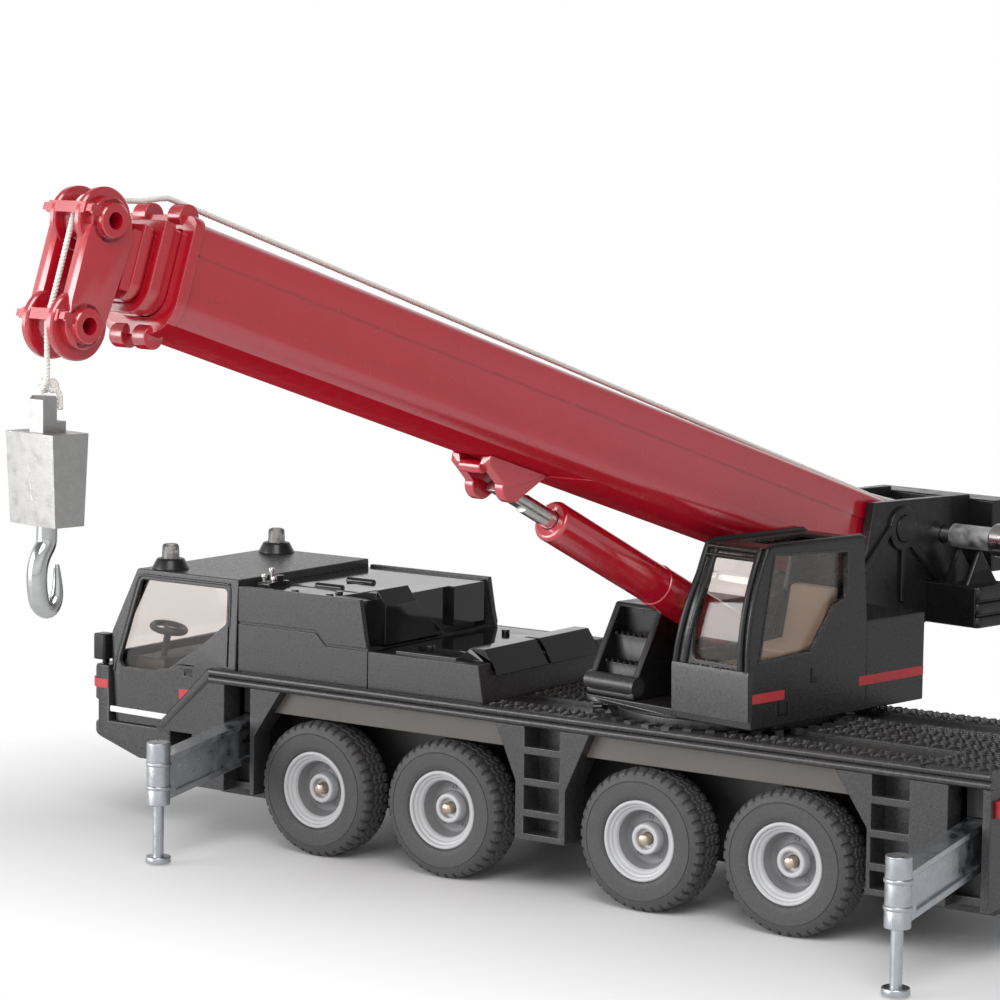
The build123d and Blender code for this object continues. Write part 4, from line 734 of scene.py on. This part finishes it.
BAND_Z = (26.8, 28.6)
BAND_SUNK = 0.3


def cab_side(z):
    """Cab side's place across at a height: it leans in above the deck."""
    return CAB_SIDE_Y - max(0.0, z - CAB_LEAN_Z) * CAB_LEAN


CAB_OPENING = [(x + brow(Vector((x, 0, z))).x, z) for x, z in CAB_WINDOW]
CAB_BORDER = grown(CAB_OPENING, CAB_BEAD_OUT)
CAB_BEAD = eased([CAB_BORDER[-1], *CAB_BORDER[:3]], CAB_BEAD_CUT)
red, white, beads, catches = Form(), Form(), Form(), Form()
for hand in BOTH_HANDS:
    skin = sides(hand, CAB_SIDE_Y - PAINT_SUNK, CAB_SIDE_Y + PAINT_T)
    red.prism(DOOR_MARK, *skin)
    white.prism(SILL_STRIPE, *skin)
    line = [Vector((x, hand * (cab_side(z) - CAB_BEAD_SUNK), z)) for x, z in CAB_BEAD]
    beads.tube(line, CAB_BEAD_R)
    catches.box(CATCH_X, sides(hand, *CATCH_Y), CATCH_Z)


def nose_bow(y):
    """Nose's front in plan: a shallow bow."""
    return NOSE_X - NOSE_SAG * (y / NOSE_HALF) ** 2


def nose_path(reach):
    """Points round the nose's left corner, from its side to a place across its front."""
    r = NOSE_CORNER_R
    middle = (nose_bow(NOSE_HALF - r) - r + 0.35, NOSE_HALF - r)
    found = [(NOSE_BACK_X, NOSE_HALF)]
    for k in range(9):
        a = radians(90 - 80 * k / 8)
        found.append((middle[0] + r * cos(a), middle[1] + r * sin(a)))
    for k in range(5):
        y = NOSE_FRONT_Y + (reach - NOSE_FRONT_Y) * k / 4
        found.append((nose_bow(y), y))
    return found


def nose_band(form, reach, z, lift):
    """Painted band round a corner of the nose, on both sides."""
    path = nose_path(reach)
    for hand in BOTH_HANDS:
        rings = []
        for i, (x, y) in enumerate(path):
            (x0, y0), (x1, y1) = path[max(i - 1, 0)], path[min(i + 1, len(path) - 1)]
            out = Vector((-(y1 - y0), x1 - x0)).normalized()
            ring = []
            for away, height in ((-BAND_SUNK, z[0]), (lift, z[0]), (lift, z[1]), (-BAND_SUNK, z[1])):
                ring.append((x + out.x * away, hand * (y + out.y * away), height))
            rings.append(ring)
        form.loft(*rings)


nose_band(red, BAND_REACH, BAND_Z, PAINT_T)
red.add("carrier_stripes", "boom_red", "carrier", paint="stripe_red")
white.add("sill_stripes", "rim_grey", "carrier", paint="stripe_white")
beads.add("cab_window_beads", "cast_black", "carrier")
catches.round(0.12).add("cab_door_catches", "gloss_black", "carrier")

# Upper part: stripes, window beads, door fittings and lumps on the stair
UCAB_WINDOW = ((14.0, 65.9), (-6.3, 65.0), (-6.3, 57.0), (-2.9, 55.9), (3.4, 48.0), (17.6, 47.6))
UCAB_FACE = 22.9
UCAB_STRIPES_X = ((10.7, 20.1), (-29.7, -10.5))
UCAB_STRIPE_Z = (40.2, 41.9)
DOOR_FITTINGS = (((2.8, 3.3), (42.3, 45.0)), ((1.6, 3.0), (42.3, 43.2)), ((12.2, 12.5), (37.4, 40.0)),
                 ((9.75, 10.05), (37.4, 39.7)), ((9.9, 12.4), (37.4, 37.75)))
STAIR_START = -17.2
STAIR_FRONT = 18.8
STAIR_Z = 38.2
STAIR_RISE = 4.767
STAIR_RUN = 2.6
LUMP_SIZE, LUMP_LIFT = (0.5, 0.42), 0.42
LUMP_INSET, LUMP_PITCH = 2.2, 1.46
LUMP_BACK, LUMP_ROW, LUMP_SHIFT = 0.75, 1.2, 0.3
stripes = Form()
for x in UCAB_STRIPES_X:
    stripes.box(x, (UCAB_FACE - PAINT_SUNK, UCAB_FACE + PAINT_T), UCAB_STRIPE_Z)
stripes.add("upper_stripes", "boom_red", "upper", place=UPPER, paint="stripe_red")
border = Form().ribbon(UCAB_WINDOW, 0.4, UCAB_FACE, 0.14)
border.round(0.05).add("crane_cab_window_bead", "cast_black", "upper", place=UPPER)
marks = Form()
for x, z in DOOR_FITTINGS:
    marks.box(x, (UCAB_FACE - 0.2, UCAB_FACE + 0.13), z)
marks.round(0.06).add("crane_cab_door_fittings", "gloss_black", "upper", place=UPPER)
lumps = Form()
for step in range(3):
    z = STAIR_Z + STAIR_RISE * step
    for k in range(6):
        y = STAIR_START + LUMP_INSET + LUMP_PITCH * k
        for row in range(2):
            x = STAIR_FRONT - STAIR_RUN * step - LUMP_BACK - LUMP_ROW * row
            lumps.stud((x, y + LUMP_SHIFT * row, z), LUMP_SIZE, 0.0, LUMP_LIFT)
lumps.add("stair_tread_lumps", "gloss_black", "upper", place=UPPER, flat=20)

# Rope
TAIL = ((-52.0, 0, 68.45), (-47.2, 0, 69.45), (-42.46, 0, 70.62))
OVER_BOOM = ((-43.9, 0, 1.5), (-20.0, 0, 1.75), (20.0, 0, 2.16), (80.0, 0, 2.78), (128.0, 0, 3.3),
             (141.0, 0, 3.4))
SPAN = ((141.0, 0, 3.4), (143.0, 0, 2.75), (145.6, 0, 1.55))
TO_HEAD = ((145.6, 0, 1.55), (148.0, 0, 0.75), (151.4, 0, 0.1), (153.6, 0, -0.3))
OVER_HEAD = ((153.6, 0, -0.3), (156.2, 0, -0.6), (157.75, 0, -2.6), (157.7, 0, -6.0), (157.65, 0, -12.0),
             (157.65, 0, -18.0), (157.8, 0, -20.2), (157.5, 0, -21.3))
Form().twist(route(OVER_BOOM)).add("rope_boom_twist", "twine", "boom", "rope_boom", place=BOOM, flat=60)
Form().twist(route(OVER_HEAD)).add("rope_head_twist", "twine", "boom_inner", "rope_head", place=BOOM, flat=60)
for name, points, place, bodies, nodes in (
        ("rope_tail_twist", TAIL, UPPER, ("upper", "boom"), ("rope_tail",)),
        ("rope_span_twist", SPAN, BOOM, ("boom", "boom_mid"), ("rope_span",)),
        ("rope_run_twist", TO_HEAD, BOOM, ("boom_mid", "boom_inner"), ())):
    piece = Form().twist(route(points)).add(name, "twine", None, *nodes, place=place, flat=60)
    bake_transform(piece)
HANG_X = 156.556
FALL = ((HANG_X, 0, 109.9), (HANG_X, 0, 106.0), (HANG_X, 0, 101.4))
fall = Form().twist(route(FALL)).add("rope_fall_twist", "twine", None, "rope_drop", place=UPPER, flat=60)
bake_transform(fall)
COIL_R = 4.95
COIL_TURNS = 13
COIL_HALF = 6.5
COIL_STEPS = 12
WINCH_X, WINCH_Z = -52.0, 63.5
reach = COIL_R / cos(pi / (2 * COIL_STEPS))
coil = []
for k in range(COIL_TURNS * COIL_STEPS + 1):
    a = WHOLE_TURN * k / COIL_STEPS
    y = -COIL_HALF + 2 * COIL_HALF * k / (COIL_TURNS * COIL_STEPS)
    coil.append((WINCH_X + reach * sin(a), y, WINCH_Z + reach * cos(a)))
Form().twist(route(coil)).add("winch_coil", "twine", "winch", place=UPPER, flat=60)
SLEEVE = ((1.5, 12.7), (1.95, 12.7), (2.25, 13.0), (2.25, 23.7), (1.5, 23.8), (1.5, 12.7))
WINCH_AXIS = Matrix.Translation((WINCH_X, 0, WINCH_Z)) @ Matrix.Rotation(-pi / 2, 4, "X")
sleeve = Form().lathe(SLEEVE, WINCH_AXIS)
sleeve.add("winch_sleeve", "steel", "winch", place=UPPER, flat=50, paint="shaft_steel")

# Knot, hook block and hook
KNOT_Z = 100.8
KNOT_R, KNOT_LOOP, KNOT_RISE = 0.62, 1.25, 0.72
KNOT_STEPS = 48
knot = []
for k in range(KNOT_STEPS + 1):
    a = WHOLE_TURN * k / KNOT_STEPS
    x = HANG_X + KNOT_R * (sin(a) + KNOT_LOOP * sin(2 * a))
    knot.append((x, KNOT_R * (cos(a) - KNOT_LOOP * cos(2 * a)), KNOT_Z - KNOT_RISE * sin(3 * a)))
tails = ((HANG_X, 0.3, KNOT_Z + 0.6), (HANG_X - 1.2, 0.9, KNOT_Z - 0.2),
         (HANG_X - 1.7, 1.1, KNOT_Z - 1.9), (HANG_X - 1.5, 1.2, KNOT_Z - 3.4))
tie = Form().twist(route(knot))
tie.twist(route(tails))
tie.add("rope_knot_tied", "twine", "hook", "rope_knot", place=UPPER, flat=60)
BLOCK_LOW, BLOCK_TOP = 80.2, 94.0


def block_ring(z, half_x, half_y, ridge):
    """Section of the hook block: a rectangle with a faint ridge down its front and back."""
    return [(HANG_X + x, y, z) for x, y in ((half_x, -half_y), (half_x + ridge, 0.1), (half_x, half_y),
                                            (-half_x, half_y), (-half_x - ridge, 0.1), (-half_x, -half_y))]


weight = Form()
weight.loft(block_ring(BLOCK_LOW, 2.7, 5.4, 0.16), block_ring(BLOCK_TOP, 3.35, 5.6, 0.26))
weight.round(0.55, angle=40, segments=3)
LUG_HALF = 1.6
SCAR_R = 0.16
LUG = ((2.0, 93.7), (2.0, 98.9), (1.5, 99.4), (-0.4, 99.4), (-0.6, 99.0), (-0.6, 95.6), (-2.3, 95.6),
       (-2.3, 93.7))
SCAR = ((3.2, -0.35, 89.2), (3.2, 0.15, 88.4), (3.12, -0.2, 87.2), (3.05, 0.2, 85.8), (3.0, 0.1, 84.6),
        (2.95, 0.45, 84.0))
lug = Form()
lug.prism([(HANG_X + x, z) for x, z in LUG], -LUG_HALF, LUG_HALF)
lug.round(0.30, segments=3)
lug.tube(spaced(route([(HANG_X + x, y, z) for x, y, z in SCAR]), 0.3), SCAR_R, 6)
weight.add("hook_block_cast", "bare_zinc", "hook", "hook_block", place=UPPER)
lug.add("hook_block_lug", "bare_zinc", "hook", place=UPPER)
HOOK = ((0, 80.6), (0, 78.4), (0.1, 77.2), (1.25, 75.6), (1.9, 73.4), (1.85, 70.4), (1.2, 67.9),
        (-0.45, 67.0), (-1.85, 68.6), (-2.1, 71.0), (-1.8, 74.0))
HOOK_R, HOOK_THINS = 1.55, 1.15
THIN_FROM, THIN_BEND = 0.56, 0.9
bend = spaced(route([(HANG_X + x, 0, z) for x, z in HOOK]), 0.4)
thick = []
for i in range(len(bend)):
    share = clip((i / (len(bend) - 1) - THIN_FROM) / (1 - THIN_FROM))
    thick.append(HOOK_R - HOOK_THINS * share ** THIN_BEND)
forged = Form().tube(bend, thick, 24).round(0.12, 60)
forged.add("hook_forged", "bare_zinc", "hook", "hook", place=UPPER, paint="hook_zinc")

# Boom head: two cheeks with discs, webs and bored bosses, rope rollers and guards
HEAD_L = 154.5
HEAD_ENDS = ((-4.1, 5.0), (-20.3, 5.3))
HEAD_BORE = 1.3
BOSS_R = 2.65
DISC_Y = (2.3, 3.6)
WEB_Y = (2.4, 4.9)
BOSS_Y = 6.1
GUARD_Z = (-3.5, -20.0)
GUARD_BARS = (((157.9, 159.4), (-4.3, 4.3), 0.85), ((158.1, 159.2), (-5.7, 5.7), 0.55))
GUARD_EAR = ((155.8, 158.7), (4.6, 5.5), 0.75)
HEAD_ROOT = ((147.9, 149.8), (-4.7, 4.7), (-13.2, -3.9))
WEB = ((149.4, -5.6), (151.0, -2.4), (154.5, -0.6), (156.6, -1.6), (157.9, -6.4), (157.9, -17.6),
       (157.0, -21.6), (154.5, -23.9), (151.8, -22.6), (150.8, -19.4))
GROOVED = ((0.5, -2.25), (3.3, -2.2), (3.3, -1.7), (2.65, -0.8), (2.6, 0.0), (2.65, 0.8), (3.3, 1.7),
           (3.3, 2.2), (0.5, 2.25))


def head_place(z, hand):
    """Frame of a bore in the head: Z runs outwards from the boom's middle."""
    return Matrix.Translation((HEAD_L, 0, z)) @ Matrix.Rotation(-hand * pi / 2, 4, "X")


head = Form()
for hand in BOTH_HANDS:
    bores = [circle((HEAD_L, z), BOSS_R - 0.1) for z, _ in HEAD_ENDS]
    head.pierced(WEB, bores, *sides(hand, *WEB_Y))
    for z, r in HEAD_ENDS:
        y0, y1 = DISC_Y
        disc = ((HEAD_BORE, y0), (HEAD_BORE, y1), (r - 0.25, y1), (r, y1 - 0.25), (r, y0 + 0.25),
                (r - 0.25, y0), (HEAD_BORE, y0))
        head.lathe(disc, head_place(z, hand), 56)
        web = WEB_Y[1]
        step = ((HEAD_BORE, y1 - 0.1), (HEAD_BORE, BOSS_Y), (HEAD_BORE + 0.15, BOSS_Y), (BOSS_R - 0.2, BOSS_Y),
                (BOSS_R, BOSS_Y - 0.2), (BOSS_R, web), (BOSS_R + 0.75, web), (BOSS_R + 0.9, web - 0.2),
                (BOSS_R + 0.9, y1 - 0.1), (HEAD_BORE, y1 - 0.1))
        head.lathe(step, head_place(z, hand), 48)
root = Form()
root.box(*HEAD_ROOT)
for z in GUARD_Z:
    for x, y, half in GUARD_BARS:
        root.box(x, y, (z - half, z + half))
    x, y, half = GUARD_EAR
    for hand in BOTH_HANDS:
        root.box(x, sides(hand, *y), (z - half, z + half))
root.round(0.28)
rollers = Form()
for z, _ in HEAD_ENDS:
    rollers.lathe(GROOVED, head_place(z, 1), 40)
head.round(0.14, angle=50)
head.add("boom_head_cheeks", "boom_red", "boom_inner", "boom_head", place=BOOM, flat=35)
root.add("boom_head_guards", "boom_red", "boom_inner", place=BOOM, flat=35)
rollers.add("boom_head_rollers", "boom_red", "boom_inner", place=BOOM, flat=35)

# Folds along the boom's sides
FOLD_X, FOLD_Y, FOLD_Z = (-38.0, 139.0), (7.8, 8.12), (-4.8, -10.9)
FOLD_HALF = 0.14
folds = Form()
for hand in BOTH_HANDS:
    for z in FOLD_Z:
        folds.box(FOLD_X, sides(hand, *FOLD_Y), (z - FOLD_HALF, z + FOLD_HALF))
folds.round(0.05).add("boom_fold_lines", "boom_red", "boom", place=BOOM)

# Beacons on the carrier cab
BEACON_AT = (118.2, 16.9, 51.5)
BEACON_FOOT = ((0.0, -0.05), (3.6, -0.05), (3.7, 0.1), (3.62, 0.35), (2.9, 1.75), (2.75, 2.0), (2.5, 2.12),
               (1.9, 2.12), (1.85, 1.9), (0.0, 1.9))
BEACON_DOME = ((1.85, 1.95), (1.78, 2.1), (1.66, 4.5), (1.5, 4.82), (1.15, 5.0), (0.0, 5.06), (0.0, 4.8),
               (1.05, 4.75), (1.35, 4.55), (1.5, 2.1), (1.6, 1.95), (1.85, 1.95))
BEACON_CORE = ((0.0, 1.9), (0.95, 1.9), (0.9, 3.1), (0.55, 3.3), (0.5, 3.9), (0.0, 4.0))
feet, domes, cores = Form(), Form(), Form()
for hand in BOTH_HANDS:
    place = Matrix.Translation((BEACON_AT[0], hand * BEACON_AT[1], BEACON_AT[2]))
    feet.lathe(BEACON_FOOT, place, 48)
    domes.lathe(BEACON_DOME, place, 40)
    cores.lathe(BEACON_CORE, place, 24)
feet.add("beacon_feet", "gloss_black", "carrier", "beacon_bases", flat=50)
domes.add("beacon_domes", SLOT_OF["beacon_lenses"], "carrier", "beacon_lenses", flat=60, paint="beacon_clear")
cores.add("beacon_cores", "steel", "carrier", flat=50, paint="rim_grey")

# Steering wheel and column of the carrier cab
WHEEL_AT = Matrix.Translation((121.0, 13.8, 38.9)) @ Matrix.Rotation(radians(-12), 4, "Y")
WHEEL_R, GRIP_R = 1.035 * 3.3, 0.62
SPOKE = ((0.4, -0.3), (1.9, -0.15), (3.2, 0.0))
SPOKE_R = [0.5, 0.45, 0.4]
COLUMN = ((0.0, 0.1), (0.8, 0.0), (0.95, -0.4), (0.75, -0.9), (0.6, -6.2), (0.0, -6.2))
hold = Form()
grip = []
for k in range(13):
    a = WHOLE_TURN * k / 12
    grip.append((WHEEL_R * cos(a), WHEEL_R * sin(a), 0.0))
hold.tube([WHEEL_AT @ Vector(p) for p in route(grip)], GRIP_R, 12)
for turn in (90, 210, 330):
    a = radians(turn)
    hold.tube([WHEEL_AT @ Vector((r * cos(a), r * sin(a), z)) for r, z in SPOKE], SPOKE_R)
hold.lathe(COLUMN, WHEEL_AT, 20)
hold.add("steering_wheel", "interior_dark", "carrier", flat=50)

# Crane cab: round bars about its front window, a proud lower panel and roof rails
UCAB_SILL_Z, UCAB_ROOF_Z = 45.7, 67.3
UCAB_BOW = (20.3, 1.4, 6.4)
INNER_Y, INNER_FLARE, FLARE_RISE = 5.5, 3.0, 16.3
PANEL_FRONT = 20.95
PANEL_Y = (5.35, 23.0)
BAR_HEIGHTS = [46.0 + 2.64 * k for k in range(9)]
BAR_SIDES = 12
CROSS_BARS = ((66.6, 0.62), (65.2, 0.45))
CROSS_Y = (8.8, 15.0, 21.6)
CROSS_OUT = 0.1
ROOF_RAIL = ((15.6, 66.85), (14.6, 67.35), (2.0, 67.35), (-10.6, 67.35), (-11.4, 66.85))
RAIL_Y = (8.95, 22.3)
RAIL_R = 0.62
DABS = 15


def ucab_front(z):
    """Crane cab's windscreen in side view: a shallow bow."""
    t = (z - UCAB_SILL_Z) / (UCAB_ROOF_Z - UCAB_SILL_Z)
    return UCAB_BOW[0] + UCAB_BOW[1] * t - UCAB_BOW[2] * t * t


def ucab_left(z):
    """Crane cab's inner side, which leans out to clear the boom."""
    return INNER_Y + INNER_FLARE * clip((z - UCAB_SILL_Z) / FLARE_RISE)


bars = Form()
for across, radius, out in (
        (lambda z: ucab_left(z) + 0.35, 0.62, 0.15), (lambda z: ucab_left(z) + 2.5, 0.5, 0.05),
        (lambda z: 20.9, 0.6, 0.15), (lambda z: 22.35, 0.5, 0.0)):
    bars.tube([Vector((ucab_front(z) + out, across(z), z)) for z in BAR_HEIGHTS], radius, BAR_SIDES)
for z, radius in CROSS_BARS:
    bars.tube([Vector((ucab_front(z) + CROSS_OUT, y, z)) for y in CROSS_Y], radius, BAR_SIDES)
for y in RAIL_Y:
    bars.tube([Vector((x, y, z)) for x, z in ROOF_RAIL], RAIL_R, BAR_SIDES)
bars.add("crane_cab_bars", "gloss_black", "upper", place=UPPER, flat=50)
PANEL = ((19.6, 37.1), (PANEL_FRONT - 0.25, 37.1), (PANEL_FRONT, 45.2), (PANEL_FRONT - 0.1, 45.9), (19.6, 45.9))
panel = Form()
panel.prism(PANEL, *PANEL_Y)
panel.round(0.32, segments=3)
for k in range(DABS):
    size = 0.42 + 0.18 * sin(2.4 * k)
    panel.stud((20.45 + 0.14 * sin(5.1 * k), 6.1 + 1.16 * k, 45.85), (size, size * 0.8), 0.4 * k, 0.30)
panel.add("crane_cab_front_panel", "cast_black", "upper", place=UPPER, flat=30)
lip = Form()
lip.tube([Vector((17.6, y, 39.45)) for y in (-17.3, -11.4, -5.4)], 1.75, 28)
lip.round(0.2, 60).add("stair_bottom_lip", "gloss_black", "upper", place=UPPER, flat=50, paint="cast_black")

# Fittings on the engine covers
COVER_TOP = 49.9
knobs, pins = Form(), Form()
knobs.box((92.9, 95.9), (11.9, 16.2), (COVER_TOP - 0.1, COVER_TOP + 0.9))
knobs.box((66.6, 92.4), (10.9, 11.15), (COVER_TOP - 0.1, COVER_TOP + 0.12))
knobs.round(0.1)
hexagon = circle((94.0, 12.9), 1.15, 6)
knobs.prism(hexagon, COVER_TOP + 0.7, COVER_TOP + 2.0, "z")
for at, height in (((94.7, 14.2), 3.0), ((95.4, 15.6), 1.9), ((93.4, 15.2), 1.5)):
    place = Matrix.Translation((*at, COVER_TOP + 0.6))
    pins.lathe(((0.42, 0.0), (0.42, height - 0.9), (0.62, height - 0.8), (0.66, height - 0.4),
                (0.5, height - 0.1), (0.0, height)), place, 20)
knobs.add("cover_fittings", "gloss_black", "carrier", flat=35)
pins.add("cover_pins", "steel", "carrier", flat=50)

# Camera at the photograph's viewpoint
CAMERA_AT = (-0.30625, 0.51931, 0.13987)
CAMERA_TO = (0.56581, -0.81836, -0.10071)
CAMERA_ROLL = radians(0.83)
LENS = 119.36
SHIFT = (0.00936, -0.03744)


def add_camera():
    """Camera that looks ahead with a slight roll."""
    ahead = Vector(CAMERA_TO).normalized()
    right = ahead.cross(Vector((0, 0, 1))).normalized()
    up = right.cross(ahead)
    turned_right = cos(CAMERA_ROLL) * right + sin(CAMERA_ROLL) * up
    turned_up = -sin(CAMERA_ROLL) * right + cos(CAMERA_ROLL) * up
    data = bpy.data.cameras.new("camera")
    data.lens = LENS
    data.sensor_width = 36
    data.shift_x, data.shift_y = SHIFT
    data.clip_start = 0.01
    camera = bpy.data.objects.new("camera", data)
    basis = Matrix((turned_right, turned_up, -ahead)).transposed().to_4x4()
    camera.matrix_world = Matrix.Translation(CAMERA_AT) @ basis
    bpy.context.scene.collection.objects.link(camera)
    bpy.context.scene.camera = camera


def add_light(name, place, target, size, power):
    """Soft white lamp turned to a target."""
    data = bpy.data.lights.new(name, "AREA")
    data.shape = "RECTANGLE"
    data.size, data.size_y = size
    data.energy = power
    lamp = bpy.data.objects.new(name, data)
    lamp.location = place
    lamp.rotation_euler = (Vector(target) - Vector(place)).to_track_quat("-Z", "Y").to_euler()
    bpy.context.scene.collection.objects.link(lamp)


FLOOR_HALF = 3.0
FOOTPRINT_AT = (0.035, 0.0)
FOOTPRINT_HALF = (0.096, 0.020)
FLOOR_FADE = (0.0, 0.075)


def math_node(tree, kind, operation, *sources):
    """Math node whose inputs are other nodes' outputs or plain values."""
    node = tree.nodes.new(kind)
    node.operation = operation
    for socket, source in zip(node.inputs, sources):
        if isinstance(source, bpy.types.NodeSocket):
            tree.links.new(source, socket)
        else:
            socket.default_value = source
    return node


def plain_rays(tree):
    """1 for rays from the camera or through clear plastic, which see plain white."""
    rays = tree.nodes.new("ShaderNodeLightPath").outputs
    seen = (rays["Is Camera Ray"], rays["Is Transmission Ray"])
    return math_node(tree, "ShaderNodeMath", "MAXIMUM", *seen).outputs[0]


def add_floor():
    """Pale floor that keeps the shadow near the crane and goes over to plain white further out."""
    mesh = bpy.data.meshes.new("floor")
    h = FLOOR_HALF
    mesh.from_pydata([(-h, -h, 0), (h, -h, 0), (h, h, 0), (-h, h, 0)], [], [(0, 1, 2, 3)])
    floor = bpy.data.objects.new("floor", mesh)
    bpy.context.scene.collection.objects.link(floor)
    paint = Paint("floor", (0.88, 0.88, 0.885), 0.7)
    tree = paint.tree
    source = paint.coords
    for operation, values in (("SUBTRACT", [(*FOOTPRINT_AT, 0.0)]), ("ABSOLUTE", []),
                              ("SUBTRACT", [(*FOOTPRINT_HALF, 0.0)]), ("MAXIMUM", [(0.0, 0.0, 0.0)])):
        source = math_node(tree, "ShaderNodeVectorMath", operation, source, *values).outputs[0]
    away = math_node(tree, "ShaderNodeVectorMath", "LENGTH", source).outputs["Value"]
    fade = paint.ramp(away, *FLOOR_FADE, 0.0, 1.0)
    share = math_node(tree, "ShaderNodeMath", "MULTIPLY", plain_rays(tree), fade)
    glow = tree.nodes.new("ShaderNodeEmission")
    mix = tree.nodes.new("ShaderNodeMixShader")
    for socket, node in zip(mix.inputs, (share, paint.shader, glow)):
        tree.links.new(node.outputs[0], socket)
    tree.links.new(mix.outputs[0], tree.nodes["Material Output"].inputs["Surface"])
    mesh.materials.append(paint.material)


HORIZON, OVERHEAD = (0.18, 0.70), 0.24
DIM_SIDE = (-0.81, -0.58, 0.0)
DIM_RANGE, DIM_SHARE = (0.45, 0.95), 0.35


def fall_off(tree, source, limits, last):
    """Goes smoothly from 1 to a last value between two limits."""
    ramp = tree.nodes.new("ShaderNodeMapRange")
    ramp.interpolation_type = "SMOOTHSTEP"
    for key, value in zip(("From Min", "From Max", "To Min", "To Max"), (*limits, 1.0, last)):
        ramp.inputs[key].default_value = value
    tree.links.new(source, ramp.inputs["Value"])
    return ramp.outputs["Result"]


def add_world():
    """White round the horizon, as a studio's paper, darker overhead and on the side away from the lamps."""
    world = bpy.data.worlds.new("studio")
    world.use_nodes = True
    bpy.context.scene.world = world
    tree = world.node_tree
    ways = tree.nodes.new("ShaderNodeTexCoord").outputs["Generated"]
    split = tree.nodes.new("ShaderNodeSeparateXYZ")
    tree.links.new(ways, split.inputs[0])
    toward = math_node(tree, "ShaderNodeVectorMath", "DOT_PRODUCT", ways, DIM_SIDE).outputs["Value"]
    height = fall_off(tree, split.outputs["Z"], HORIZON, OVERHEAD)
    dim = fall_off(tree, toward, DIM_RANGE, DIM_SHARE)
    light = math_node(tree, "ShaderNodeMath", "MULTIPLY", height, dim).outputs[0]
    shown = math_node(tree, "ShaderNodeMath", "MAXIMUM", light, plain_rays(tree)).outputs[0]
    background = tree.nodes["Background"]
    tree.links.new(shown, background.inputs["Strength"])
    background.inputs["Color"].default_value = (1, 1, 1, 1)


add_camera()
add_floor()
add_world()
add_light("key", place=(-0.45, 0.75, 0.95), target=(0.0, 0.05, 0.05), size=(0.7, 0.7), power=7.0)
add_light("left", place=(0.85, 1.05, 0.32), target=(0.05, 0.05, 0.05), size=(0.9, 0.7), power=10.0)
bpy.context.scene.view_settings.view_transform = "Standard"
